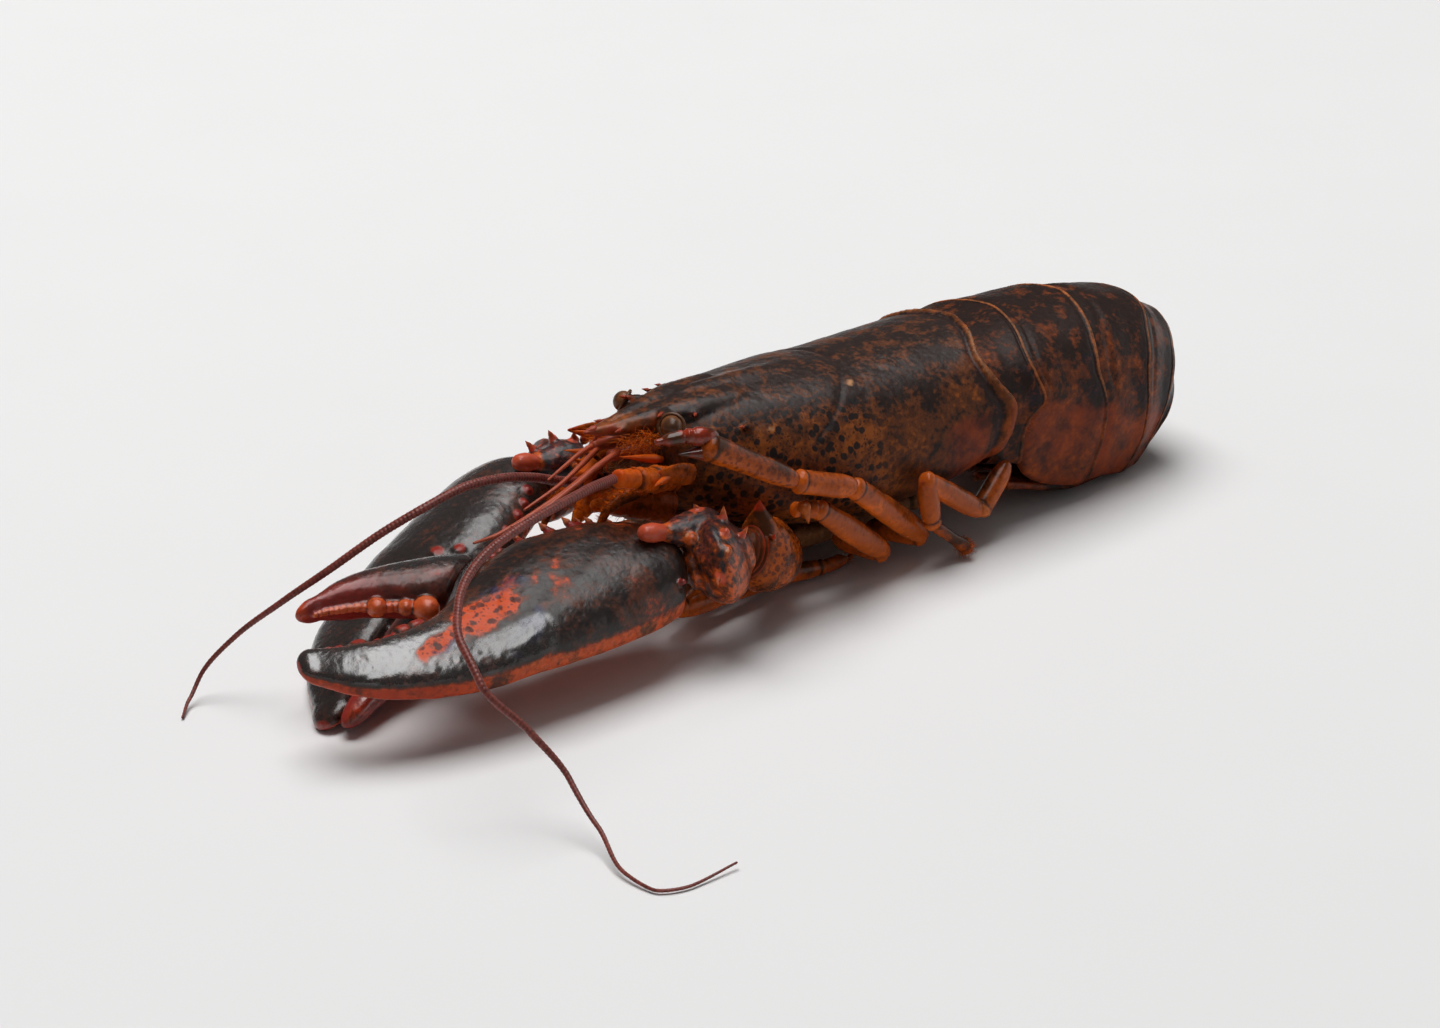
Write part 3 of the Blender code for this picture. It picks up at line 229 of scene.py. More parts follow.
# Feelers: x, y, z, radius
FEELER_SLIM = 0.84
ANTENNA_LEFT = (
    (-110.8, -16.9, 41.5, 1.35), (-122.5, -22.7, 44.0, 1.3), (-139.8, -29.1, 45.0, 1.2),
    (-152.9, -33.2, 44.0, 1.15), (-161.5, -37.1, 42.0, 1.15), (-168.4, -43.1, 39.5, 1.1),
    (-173.4, -51.4, 35.5, 1.05), (-173.9, -58.4, 30.0, 1.0), (-167.2, -65.5, 19.8, 0.9),
    (-163.2, -73.0, 11.0, 0.75), (-163.4, -82.2, 4.9, 0.62), (-166.4, -94.8, 1.5, 0.5),
    (-165.0, -103.0, 0.75, 0.45), (-158.0, -106.0, 0.7, 0.4), (-146.9, -105.5, 1.4, 0.3))
ANTENNA_RIGHT = (
    (-102.8, 6.7, 30.1, 1.35), (-111.1, 3.2, 34.0, 1.3), (-120.0, 1.3, 38.0, 1.25),
    (-129.0, -0.8, 41.0, 1.2), (-138.6, -2.2, 42.4, 1.15), (-148.4, -2.7, 41.0, 1.1),
    (-158.2, -0.2, 36.8, 1.05), (-168.6, 3.7, 30.2, 1.0), (-178.2, 10.0, 22.2, 0.85),
    (-186.1, 17.2, 13.4, 0.7), (-192.2, 20.2, 6.4, 0.6), (-197.1, 18.3, 1.8, 0.5),
    (-201.3, 14.1, 0.5, 0.35))
STALK_LEFT = ((-91.8, -11.4, 34.4, 3.2), (-96.0, -13.0, 36.0, 3.5), (-100.6, -14.4, 37.6, 3.1),
              (-105.0, -15.4, 39.4, 2.8), (-109.4, -16.4, 41.0, 2.1))
STALK_RIGHT = ((-91.8, 11.4, 33.8, 3.2), (-95.6, 10.8, 32.4, 3.2), (-98.8, 9.2, 30.8, 2.7),
               (-101.2, 7.8, 30.0, 2.1))
JAW_LEFT = ((-90.2, -8.8, 26.4, 3.2, 3.9), (-94.0, -8.8, 28.0, 3.2, 4.0), (-99.5, -7.6, 29.4, 2.6, 3.6),
            (-104.4, -6.0, 30.0, 1.9, 2.3), (-107.2, -4.8, 29.8, 1.1, 1.4))
JAW_RIGHT = ((-90.8, 8.8, 21.6, 2.8, 3.2), (-94.0, 9.4, 23.2, 2.8, 3.4), (-98.0, 9.2, 23.4, 2.4, 3.0),
             (-101.6, 8.2, 21.8, 1.8, 2.2), (-103.4, 7.6, 20.4, 1.1, 1.3))
FEELER_PAIR = (
    ((-100.0, -2.6, 39.3, 0.95), (-108.0, -4.6, 38.0, 0.85), (-118.2, -7.4, 36.2, 0.75),
     (-135.7, -9.9, 33.2, 0.6), (-141.2, -8.2, 32.0, 0.35)),
    ((-100.0, -3.8, 40.2, 0.9), (-107.0, -6.4, 40.0, 0.8), (-116.0, -9.8, 38.8, 0.7),
     (-128.0, -12.2, 36.4, 0.55), (-134.0, -12.0, 35.2, 0.35)),
)
FEELER_PAIR_RIGHT = (
    ((-100.0, 2.8, 39.3, 0.9), (-108.0, -1.2, 38.4, 0.7), (-117.0, -4.8, 37.0, 0.6),
     (-127.0, -6.8, 35.2, 0.35)),
    ((-100.0, 3.8, 39.9, 0.85), (-106.0, 1.6, 39.8, 0.7), (-112.0, -0.8, 39.2, 0.55),
     (-118.0, -3.0, 38.4, 0.3)),
)
FEELER_STEM = ((-91.0, 3.4, 38.6, 1.9), (-93.4, 3.35, 39.0, 1.6), (-96.0, 3.3, 39.3, 1.75),
               (-98.6, 3.25, 39.5, 1.35), (-101.4, 3.2, 39.6, 1.4))

# Small head parts: x, y, z, half width, half height
HEAD_PLATE = ((-86.6, -13.2, 34.6, 0.9, 2.3), (-90.0, -14.2, 35.9, 0.9, 2.6), (-93.6, -14.9, 37.2, 0.8, 2.1),
              (-96.6, -15.2, 38.1, 0.6, 1.2), (-99.4, -15.4, 38.8, 0.25, 0.3))
JAW_RIDGE = ((-89.0, -10.6, 32.2, 1.5, 1.9), (-94.2, -11.0, 33.5, 1.5, 1.8), (-100.2, -11.0, 33.4, 1.4, 1.6),
             (-104.6, -10.8, 32.6, 1.2, 1.4), (-107.9, -10.6, 31.0, 1.0, 1.2),
             (-110.0, -10.4, 27.8, 0.7, 0.8))

# Floor, light and view, in metres, millimetres of lens and directions
FLOOR_SIZE = 8.0
SKY_STRENGTH = 0.13
LENS_LENGTH = 85.0
SENSOR_WIDTH = 36.0
VIEW_PLACE = (-0.5008, -0.5531, 0.3423)
VIEW_WAY = (0.558, 0.714, -0.4226)


# Small maths

def clip01(value):
    return np.clip(value, 0.0, 1.0)


def smooth(value):
    t = clip01(value)
    return t * t * (3.0 - 2.0 * t)


def lerp(a, b, t):
    return a + (b - a) * t


def hump(x, centre, width):
    return np.exp(-((x - centre) / width) ** 2)


def power(value, exponent):
    return np.sign(value) * np.abs(value) ** exponent


def unit(vectors):
    length = np.linalg.norm(vectors, axis=-1, keepdims=True)
    return vectors / np.maximum(length, 1e-9)


def rise(value, start, width):
    """0 up to start, 1 from start + width on."""
    return smooth((value - start) / width)


def fall(value, end, width):
    """1 down to end - width, 0 from end on."""
    return smooth((end - value) / width)


def turns(count, shift=0.0):
    """Angles spread evenly over a full turn."""
    return 2.0 * np.pi * (np.arange(count) + shift) / count


def mirrored(points, side):
    """Points of the left side, or the same ones on the right side."""
    return np.array(points, float) * (1.0, -side, 1.0)


def curve(stations):
    """A smooth curve without overshoot through (position, value, value, ...) rows."""
    rows = np.array(stations, float)
    xs, ys = rows[:, 0], rows[:, 1:]
    secants = np.diff(ys, axis=0) / np.diff(xs)[:, None]
    before, after = secants[:-1], secants[1:]
    steady = before * after > 0.0
    total = np.where(steady, before + after, 1.0)
    inner = np.where(steady, 2.0 * before * after / total, 0.0)
    slopes = np.vstack([secants[:1], inner, secants[-1:]])

    def value(x):
        x = np.clip(np.asarray(x, float), xs[0], xs[-1])
        i = np.clip(np.searchsorted(xs, x, side="left") - 1, 0, len(xs) - 2)
        span = (xs[i + 1] - xs[i])[..., None]
        t = (x - xs[i])[..., None] / span
        out = (ys[i] * (1.0 + 2.0 * t) * (1.0 - t) ** 2 + slopes[i] * span * t * (1.0 - t) ** 2
               + ys[i + 1] * t * t * (3.0 - 2.0 * t) + slopes[i + 1] * span * t * t * (t - 1.0))
        return out[..., 0] if ys.shape[1] == 1 else out

    return value


def spline_points(knots, steps):
    """Points on a curve through the knots, evenly spaced by knot length."""
    knots = np.array(knots, float)
    lengths = np.concatenate([[0.0], np.cumsum(np.linalg.norm(np.diff(knots[:, :3], axis=0), axis=1))])
    shape = curve(np.column_stack([lengths, knots]))
    return shape(np.linspace(0.0, lengths[-1], steps + 1))


def noise(points, size, seed=0):
    """Smooth random value from -1 to 1 with features of the given size in millimetres."""
    q = np.asarray(points) / size + np.array([12.93, 78.21, 37.77]) * (seed + 1)
    cell = np.floor(q).astype(np.int64)
    part = q - cell
    ease = part * part * (3.0 - 2.0 * part)
    total = np.zeros(q.shape[:-1])
    for corner in range(8):
        step = np.array([corner & 1, corner >> 1 & 1, corner >> 2 & 1])
        place = cell + step
        key = place[..., 0] * 73856093 ^ place[..., 1] * 19349663 ^ place[..., 2] * 83492791
        key = (key ^ (key >> 13)) * 1274126177 & 0x7FFFFFFF
        value = ((key ^ (key >> 15)) & 0xFFFF) / 32767.5 - 1.0
        total += value * np.where(step, ease, 1.0 - ease).prod(axis=-1)
    return total


CARAPACE = curve(CARAPACE_ROWS)
REAR_EDGE = curve(REAR_ROWS)
ROSTRUM = curve(ROSTRUM_ROWS)
TAIL = curve(TAIL_ROWS)
WAVE = curve(WAVE_ROWS)
FLANK = curve(FLANK_ROWS)
GROOVE = curve(((0.0, -37.6), (12.0, -38.6), (21.0, -41.4), (29.0, -43.6), (46.0, -49.0), (63.0, -56.0),
                (80.0, -60.0), (180.0, -60.0)))


# Shapes

class Shape:
    """Points in design millimetres, their faces, and the colour amounts of each point.

    tone is (orange, red, pale), more is (spots, blue, wet)."""

    def __init__(self, points, quads, tris, tone=None, more=None):
        self.points = np.asarray(points, float).reshape(-1, 3)
        self.quads = np.asarray(quads, int).reshape(-1, 4)
        self.tris = np.asarray(tris, int).reshape(-1, 3)
        self.tone = np.zeros_like(self.points) if tone is None else tone
        self.more = np.zeros_like(self.points) if more is None else more

    def paint(self, tone=(0.0, 0.0, 0.0), more=(0.0, 0.0, 0.0)):
        """Sets the colour amounts, each one number or one for every point."""
        blank = np.zeros(len(self.points))
        self.tone = np.column_stack([blank + amount for amount in tone])
        self.more = np.column_stack([blank + amount for amount in more])
        return self


def merged(shapes):
    starts = np.cumsum([0] + [len(s.points) for s in shapes])
    return Shape(np.vstack([s.points for s in shapes]),
                 np.vstack([s.quads + n for s, n in zip(shapes, starts)]),
                 np.vstack([s.tris + n for s, n in zip(shapes, starts)]),
                 np.vstack([s.tone for s in shapes]),
                 np.vstack([s.more for s in shapes]))


def outward(shape):
    """Faces turned so that they look out of the closed skin."""
    p, q, t = shape.points - shape.points.mean(axis=0), shape.quads, shape.tris
    corners = np.vstack([t, q[:, [0, 1, 2]], q[:, [0, 2, 3]]])
    a, b, c = p[corners[:, 0]], p[corners[:, 1]], p[corners[:, 2]]
    if np.einsum("ij,ij->", a, np.cross(b, c)) < 0.0:
        shape.quads = shape.quads[:, ::-1]
        shape.tris = shape.tris[:, ::-1]
    return shape


def lofted(rings, start=None, end=None):
    """Closed skin over rows of rings, each end drawn to one point."""
    rings = np.asarray(rings, float)
    rows, ring = rings.shape[:2]
    index = np.arange(rows * ring).reshape(rows, ring)
    after = np.roll(index, -1, axis=1)
    quads = np.stack([index[:-1], after[:-1], after[1:], index[1:]], axis=-1).reshape(-1, 4)
    first = rings[0].mean(axis=0) if start is None else np.array(start, float)
    last = rings[-1].mean(axis=0) if end is None else np.array(end, float)
    points = np.vstack([rings.reshape(-1, 3), first, last])
    low = np.full(ring, rows * ring)
    tris = np.vstack([np.column_stack([after[0], index[0], low]),
                      np.column_stack([index[-1], after[-1], low + 1])])
    return outward(Shape(points, quads, tris))


def frames(centres, up, axis=None):
    """Directions along, beside and above each point of a path."""
    ahead = np.vstack([centres[1:], centres[-1:]])
    behind = np.vstack([centres[:1], centres[:-1]])
    along = unit(ahead - behind)
    if axis is not None:
        along = np.broadcast_to(unit(np.array(axis, float)), along.shape)
    side = np.cross(np.array(up, float), along)
    side = unit(np.where(np.linalg.norm(side, axis=1, keepdims=True) < 1e-6,
                         np.cross((0.0, 1.0, 0.0), along), side))
    return along, side, unit(np.cross(along, side))


def tube(points, ring, up=(0.0, 0.0, 1.0), caps=(0.9, 0.9), axis=None):
    """Tube over rows (x, y, z, half width, half height) with domed ends."""
    points = np.array(points, float)
    if points.shape[1] == 4:
        points = np.column_stack([points, points[:, 3]])
    centres = points[:, :3]
    along, side, top = frames(centres, up, axis)
    angle = turns(ring)
    round_ = (side[:, None] * (np.cos(angle)[:, None] * points[:, None, 3:4])
              + top[:, None] * (np.sin(angle)[:, None] * points[:, None, 4:5]))
    rows = list(centres[:, None] + round_)
    reach = [min(points[0, 3:5]) * caps[0], min(points[-1, 3:5]) * caps[1]]
    for bend in np.radians((28.0, 52.0, 74.0)):
        rows.insert(0, centres[0] + round_[0] * np.cos(bend) - along[0] * reach[0] * np.sin(bend))
        rows.append(centres[-1] + round_[-1] * np.cos(bend) + along[-1] * reach[1] * np.sin(bend))
    return lofted(np.array(rows), centres[0] - along[0] * reach[0], centres[-1] + along[-1] * reach[1])


def cone(base, tip, radius, ring=14, lean=(0.0, 0.0, 0.0)):
    """A spine, swelling at its foot and leaning a little at its tip."""
    base, tip = np.array(base, float), np.array(tip, float)
    t = np.array([-0.3, -0.1, 0.0, 0.12, 0.28, 0.45, 0.62, 0.78, 0.9, 0.97])
    r = np.array([0.7, 0.98, 1.0, 0.93, 0.78, 0.6, 0.42, 0.26, 0.14, 0.06]) * radius
    centres = lerp(base, tip, t[:, None]) + np.array(lean) * (clip01(t) ** 2)[:, None]
    _, side, top = frames(centres, (0.0, 0.0, 1.0) if abs(unit(tip - base)[2]) < 0.8 else (0.0, 1.0, 0.0))
    angle = turns(ring)
    rings = (centres[:, None] + side[:, None] * (np.cos(angle)[:, None] * r[:, None, None])
             + top[:, None] * (np.sin(angle)[:, None] * r[:, None, None]))
    return lofted(rings, None, tip + np.array(lean))


def ball(centre, radius, ring=22, rows=14, stretch=(1.0, 1.0, 1.0)):
    lat = np.pi * np.arange(1, rows) / rows - np.pi / 2.0
    angle = turns(ring)
    way = np.stack([np.cos(lat)[:, None] * np.cos(angle), np.cos(lat)[:, None] * np.sin(angle),
                    np.repeat(np.sin(lat)[:, None], ring, axis=1)], axis=-1)
    size = radius * np.array(stretch)
    centre = np.array(centre, float)
    pole = np.array([0.0, 0.0, size[2]])
    return lofted(centre + way * size, centre - pole, centre + pole)


def melted(shape, voxel, relax=2):
    """One skin over shapes that overlap, in squares about a voxel wide."""
    mesh = bpy.data.meshes.new("melt")
    mesh.from_pydata(shape.points.tolist(), [], shape.quads.tolist() + shape.tris.tolist())
    obj = bpy.data.objects.new("melt", mesh)
    bpy.context.scene.collection.objects.link(obj)
    step = obj.modifiers.new("melt", "REMESH")
    step.mode = "VOXEL"
    step.voxel_size = voxel
    soften = obj.modifiers.new("soften", "SMOOTH")
    soften.factor = 0.5
    soften.iterations = relax
    fresh = bpy.data.meshes.new_from_object(obj.evaluated_get(bpy.context.evaluated_depsgraph_get()))
    points = np.empty(len(fresh.vertices) * 3, np.float32)
    fresh.vertices.foreach_get("co", points)
    index = np.empty(len(fresh.loops), np.int32)
    fresh.loops.foreach_get("vertex_index", index)
    bpy.data.objects.remove(obj)
    bpy.data.meshes.remove(mesh)
    bpy.data.meshes.remove(fresh)
    return outward(Shape(points.reshape(-1, 3), index.reshape(-1, 4), []))


def normals(shape):
    p = shape.points
    out = np.zeros_like(p)
    q, t = shape.quads, shape.tris
    across = np.cross(p[q[:, 2]] - p[q[:, 0]], p[q[:, 3]] - p[q[:, 1]])
    flat = np.cross(p[t[:, 1]] - p[t[:, 0]], p[t[:, 2]] - p[t[:, 0]])
    for faces, values in ((q, across), (t, flat)):
        for k in range(faces.shape[1]):
            for axis in range(3):
                out[:, axis] += np.bincount(faces[:, k], values[:, axis], len(p))
    return unit(out)


def raised(shape, height):
    shape.points = shape.points + normals(shape) * np.asarray(height)[:, None]
    return shape


def roughened(shape, *layers):
    """Raised by noise, in layers of (height, size, seed)."""
    return raised(shape, sum(height * noise(shape.points, size, seed) for height, size, seed in layers))


def near(points, places, reach):
    """How close each point is to the nearest of the places: 1 there, falling off over reach."""
    out = np.zeros(len(points))
    for place in places:
        gap = np.linalg.norm(points - np.array(place), axis=1)
        out = np.maximum(out, np.exp(-(gap / reach) ** 2))
    return out


def hairs(roots, ways, lengths, radius=0.07, droop=0.15, tone=(0.55, 0.0, 0.35)):
    """Fine tapered bristles, each a bent three sided tube."""
    roots, ways = np.asarray(roots, float), unit(np.asarray(ways, float))
    lengths = np.asarray(lengths, float)
    count, rows, ring = len(roots), 5, 3
    t = np.linspace(0.0, 1.0, rows)
    centres = (roots[:, None] + ways[:, None] * (lengths[:, None] * t)[..., None]
               - np.array([0.0, 0.0, droop]) * (lengths[:, None] * t ** 2)[..., None])
    side = unit(np.cross(ways, (0.31, 0.17, 0.93)))
    top = np.cross(ways, side)
    angle = turns(ring)
    wide = radius * (1.0 - 0.85 * t)
    spread = (side[:, None] * np.cos(angle)[None, :, None] + top[:, None] * np.sin(angle)[None, :, None])
    points = centres[:, :, None] + spread[:, None] * wide[None, :, None, None]
    points[..., 2] = np.maximum(points[..., 2], FLOOR_CLEAR * (1.0 + points[..., 2] - points[..., 2].min()))
    index = np.arange(count * rows * ring).reshape(count, rows, ring)
    after = np.roll(index, -1, axis=2)
    quads = np.stack([index[:, :-1], after[:, :-1], after[:, 1:], index[:, 1:]], axis=-1).reshape(-1, 4)
    tris = np.vstack([index[:, 0, ::-1], index[:, -1]])
    return Shape(points.reshape(-1, 3), quads, tris).paint(tone)


# Materials

class Graph:
    """The nodes of one material."""

    def __init__(self, name):
        self.material = bpy.data.materials.new(name)
        self.material.use_nodes = True
        self.tree = self.material.node_tree
        self.skin = self.tree.nodes["Principled BSDF"]
        self.place = self.node("TexCoord").outputs["Object"]

    def put(self, socket, value):
        if isinstance(value, bpy.types.NodeSocket):
            self.tree.links.new(value, socket)
        else:
            socket.default_value = value

    def node(self, kind, sockets=None, **settings):
        made = self.tree.nodes.new("ShaderNode" + kind)
        for key, value in settings.items():
            setattr(made, key, value)
        for key, value in (sockets or {}).items():
            self.put(made.inputs[key], value)
        return made

    def maths(self, operation, a, b, clamp=False):
        return self.node("Math", {0: a, 1: b}, operation=operation, use_clamp=clamp).outputs[0]

    def times(self, a, b, clamp=False):
        return self.maths("MULTIPLY", a, b, clamp)

    def varied(self, value, cloud, amount):
        """The value, made more or less by a cloud about its middle."""
        return self.maths("ADD", value, self.times(self.maths("SUBTRACT", cloud, 0.5), amount))

    def step(self, value, low, high, start=0.0, end=1.0):
        """Smooth step of a value from low to high."""
        made = self.node("MapRange", {"Value": value, "From Min": low, "From Max": high,
                                      "To Min": start, "To Max": end}, interpolation_type="SMOOTHSTEP")
        return made.outputs["Result"]

    def mix(self, amount, a, b):
        return self.node("Mix", {0: amount, 6: a, 7: b}, data_type="RGBA").outputs[2]

    def cloud(self, size, detail=2.0, rough=0.55, warp=0.0):
        """Noise from 0 to 1 with features of the given size in millimetres."""
        return self.node("TexNoise", {"Vector": self.place, "Scale": 1.0 / (size * MM), "Detail": detail,
                                      "Roughness": rough, "Distortion": warp}).outputs["Fac"]

    def cells(self, size, place=None, feature="F1"):
        return self.node("TexVoronoi", {"Vector": place or self.place, "Scale": 1.0 / (size * MM)},
                         feature=feature).outputs["Distance"]

    def bent_place(self, size, reach):
        """Places pushed about, so that round cells turn ragged."""
        cloud = self.node("TexNoise", {"Vector": self.place, "Scale": 1.0 / (size * MM), "Detail": 2.0})
        push = self.node("VectorMath", {0: cloud.outputs["Color"], 1: (0.5, 0.5, 0.5)}, operation="SUBTRACT")
        push = self.node("VectorMath", {0: push.outputs[0], "Scale": reach * MM}, operation="SCALE")
        return self.node("VectorMath", {0: self.place, 1: push.outputs[0]}, operation="ADD").outputs[0]

    def dots(self, size, place, core, edge):
        """1 in the middle of each cell, 0 from its edge on."""
        return self.maths("SUBTRACT", 1.0, self.step(self.cells(size, place), core, edge))

    def read(self, name):
        made = self.node("Attribute", attribute_name=name)
        return self.node("SeparateXYZ", {0: made.outputs["Vector"]}).outputs[:3]

    def finished(self, colour, rough, specular, coat=0.0, coat_rough=0.03, layers=()):
        """The material, its relief in layers of (height, millimetres) laid over each other."""
        normal = {}
        for height, depth in layers:
            bump = self.node("Bump", {"Height": height, "Distance": depth * MM, "Strength": 1.0, **normal})
            normal = {"Normal": bump.outputs["Normal"]}
        sockets = {"Base Color": colour, "Roughness": rough, "Specular IOR Level": specular,
                   "Coat Weight": coat, "Coat Roughness": coat_rough, **normal}
        for key, value in sockets.items():
            self.put(self.skin.inputs[key], value)
        return self.material


def rgb(r, g, b):
    return (r, g, b, 1.0)


BLACK = rgb(0.010, 0.0075, 0.0075)
BLUE = rgb(0.010, 0.011, 0.045)


def shell_material(name, dark, brown, bright, red, pale, mottle=(4.5, 0.9), freckle=(1.1, 0.5),
                   spot=(2.8, 0.8), rough=(0.40, 0.58), coat=0.05, pits=(1.3, 0.05), grain=(0.45, 0.03),
                   shine=0.22, swell=0.25):
    """Pigmented shell: dark to orange by the points' tone, broken up by blotches and freckles.

    mottle, freckle, spot, pits and grain are each (millimetres, amount)."""
    g = Graph(name)
    orange, redness, paleness = g.read("tone")
    spots, blueness, wetness = g.read("more")
    blotch = g.cloud(mottle[0], 4.0, 0.6, 0.4)
    fine = g.cloud(freckle[0], 3.0, 0.6)
    amount = g.varied(g.varied(orange, blotch, 2.0 * mottle[1]), fine, 2.0 * freckle[1])
    colour = g.mix(g.step(amount, 0.12, 0.52), dark, brown)
    colour = g.mix(g.step(amount, 0.5, 1.0), colour, bright)
    colour = g.mix(g.step(g.varied(redness, blotch, 0.5), 0.25, 0.85), colour, red)
    ragged = g.bent_place(2.2, 1.6)
    small = g.times(g.dots(0.42 * spot[0], ragged, 0.2, 0.36), spot[1])
    dots = g.maths("MAXIMUM", g.dots(spot[0], ragged, 0.33, 0.46), small)
    colour = g.mix(g.times(dots, spots, True), colour, BLACK)
    colour = g.mix(g.times(blueness, g.step(blotch, 0.42, 0.6), True), colour, BLUE)
    colour = g.mix(g.step(g.varied(paleness, fine, 0.5), 0.2, 1.0), colour, pale)
    gloss = g.maths("SUBTRACT", g.step(fine, 0.3, 0.75, rough[0], rough[1]), g.times(wetness, 0.14))
    specular = g.maths("ADD", g.times(wetness, 1.1 * shine), 0.3 * shine)
    pit = g.step(g.cells(pits[0], None, "SMOOTH_F1"), 0.0, 0.6)
    return g.finished(colour, gloss, specular, g.times(wetness, 2.0 * coat, True), 0.2,
                      ((pit, pits[1]), (g.cloud(grain[0], 3.0, 0.65), grain[1]), (blotch, swell)))


def feeler_material():
    g = Graph("feeler_skin")
    orange, _, paleness = g.read("tone")
    fine = g.cloud(1.4, 3.0, 0.6)
    colour = g.mix(g.step(fine, 0.3, 0.7), rgb(0.085, 0.012, 0.010), rgb(0.19, 0.030, 0.020))
    share = g.times(orange, g.step(fine, 0.1, 0.6, 0.7, 1.0))
    colour = g.mix(share, colour, rgb(0.50, 0.075, 0.016))
    colour = g.mix(paleness, colour, rgb(0.33, 0.085, 0.055))
    return g.finished(colour, g.step(fine, 0.3, 0.7, 0.3, 0.48), 0.3, 0.08, 0.15, ((g.cloud(0.4), 0.03),))


def eye_material():
    g = Graph("eye_skin")
    fine = g.cloud(0.8, 3.0, 0.6)
    colour = g.mix(g.step(fine, 0.3, 0.7), rgb(0.018, 0.009, 0.006), rgb(0.040, 0.018, 0.010))
    ring = g.mix(fine, rgb(0.12, 0.042, 0.014), rgb(0.22, 0.080, 0.026))
    colour = g.mix(g.read("tone")[0], colour, ring)
    return g.finished(colour, g.step(fine, 0.3, 0.7, 0.3, 0.42), 0.22, 0.12, 0.12, ((g.cells(0.22), 0.012),))


SHELL = shell_material("shell_skin", rgb(0.021, 0.0100, 0.0070), rgb(0.115, 0.032, 0.009),
                       rgb(0.29, 0.074, 0.011), rgb(0.34, 0.044, 0.012), rgb(0.52, 0.25, 0.11),
                       mottle=(4.6, 0.9), freckle=(1.2, 0.6), spot=(2.3, 0.8), shine=0.30, swell=0.14)
TAIL_SKIN = shell_material("tail_skin", rgb(0.022, 0.0105, 0.0075), rgb(0.125, 0.030, 0.009),
                           rgb(0.36, 0.075, 0.010), rgb(0.27, 0.038, 0.008), rgb(0.46, 0.20, 0.08),
                           mottle=(5.5, 1.2), freckle=(1.2, 0.6), spot=(2.2, 0.6), shine=0.30, swell=0.14)
CLAW = shell_material("claw_skin", rgb(0.018, 0.0110, 0.0090), rgb(0.090, 0.024, 0.009),
                      rgb(0.60, 0.070, 0.010), rgb(0.26, 0.020, 0.012), rgb(0.70, 0.28, 0.10),
                      mottle=(5.0, 0.6), freckle=(1.2, 0.5), spot=(2.4, 0.7), rough=(0.32, 0.44),
                      coat=0.45, pits=(1.5, 0.06), shine=0.58)
WRIST = shell_material("wrist_skin", rgb(0.021, 0.0150, 0.0180), rgb(0.150, 0.036, 0.012),
                       rgb(0.60, 0.100, 0.014), rgb(0.56, 0.082, 0.034), rgb(0.70, 0.36, 0.16),
                       mottle=(2.7, 1.5), freckle=(1.0, 0.6), spot=(2.0, 0.6), rough=(0.32, 0.46),
                       coat=0.3, shine=0.40)
LIMB = shell_material("limb_skin", rgb(0.070, 0.020, 0.006), rgb(0.41, 0.074, 0.006),
                      rgb(0.76, 0.140, 0.007), rgb(0.46, 0.036, 0.010), rgb(0.68, 0.30, 0.11),
                      mottle=(6.0, 0.55), freckle=(1.3, 0.25), spot=(1.4, 0.5), rough=(0.24, 0.32),
                      coat=0.14, pits=(1.0, 0.01), grain=(0.6, 0.01), shine=0.19, swell=0.04)
BELLY = shell_material("belly_skin", rgb(0.10, 0.045, 0.022), rgb(0.28, 0.11, 0.045),
                       rgb(0.48, 0.22, 0.09), rgb(0.40, 0.07, 0.03), rgb(0.60, 0.40, 0.24),
                       mottle=(5.0, 0.4), spot=(1.8, 0.3))
FEELER = feeler_material()
EYE = eye_material()
SLOTS = {"shell_skin": "shell", "tail_skin": "tail_shell", "claw_skin": "claw_shell",
         "wrist_skin": "claw_shell", "limb_skin": "limb_shell", "belly_skin": "underside",
         "feeler_skin": "feeler", "eye_skin": "eye"}


def piece(shape, material, *nodes):
    """Puts a finished shape into the scene, in metres, in place of its nodes."""
    name, slot = nodes[0] + "_skin", SLOTS[material.name]
    mesh = bpy.data.meshes.new(name)
    place = shape.points * MM + OFFSET
    mesh.from_pydata(place.tolist(), [], shape.quads.tolist() + shape.tris.tolist())
    for key, values in (("tone", shape.tone), ("more", shape.more)):
        layer = mesh.attributes.new(key, "FLOAT_VECTOR", "POINT")
        layer.data.foreach_set("vector", clip01(values).astype(np.float32).ravel())
    mesh.shade_smooth()
    mesh.materials.append(material)
    obj = bpy.data.objects.new(name, mesh)
    bpy.context.scene.collection.objects.link(obj)
    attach(obj, "root")
    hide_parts(*nodes)


# Carapace

def section(x, angle, keel):
    """y, z of the shell at x; angle 0 is the right side, 90 degrees the top."""
    half, top, mid, bottom = np.moveaxis(CARAPACE(x), -1, 0)
    c, s = np.cos(angle), np.sin(angle)
    high = s >= 0.0
    y = np.where(high, half * power(c, 0.86), half * power(c, 0.62) * (1.0 - 0.10 * s * s))
    z = np.where(high, mid + (top - mid) * power(np.abs(s), 0.94) + keel * hump(y, 0.0, 3.0),
                 mid - (mid - bottom) * np.abs(s) ** 0.75)
    return y, z, half, top, bottom


def groove_depth(turn, ahead_x):
    """1 in the groove that runs forward and down over the shell, 0 beside it."""
    return hump(ahead_x, GROOVE(turn), 0.62) * fall(turn, 72.0, 10.0)


def turn_of(angle):
    return np.degrees(np.arccos(np.clip(np.sin(angle), -1.0, 1.0)))


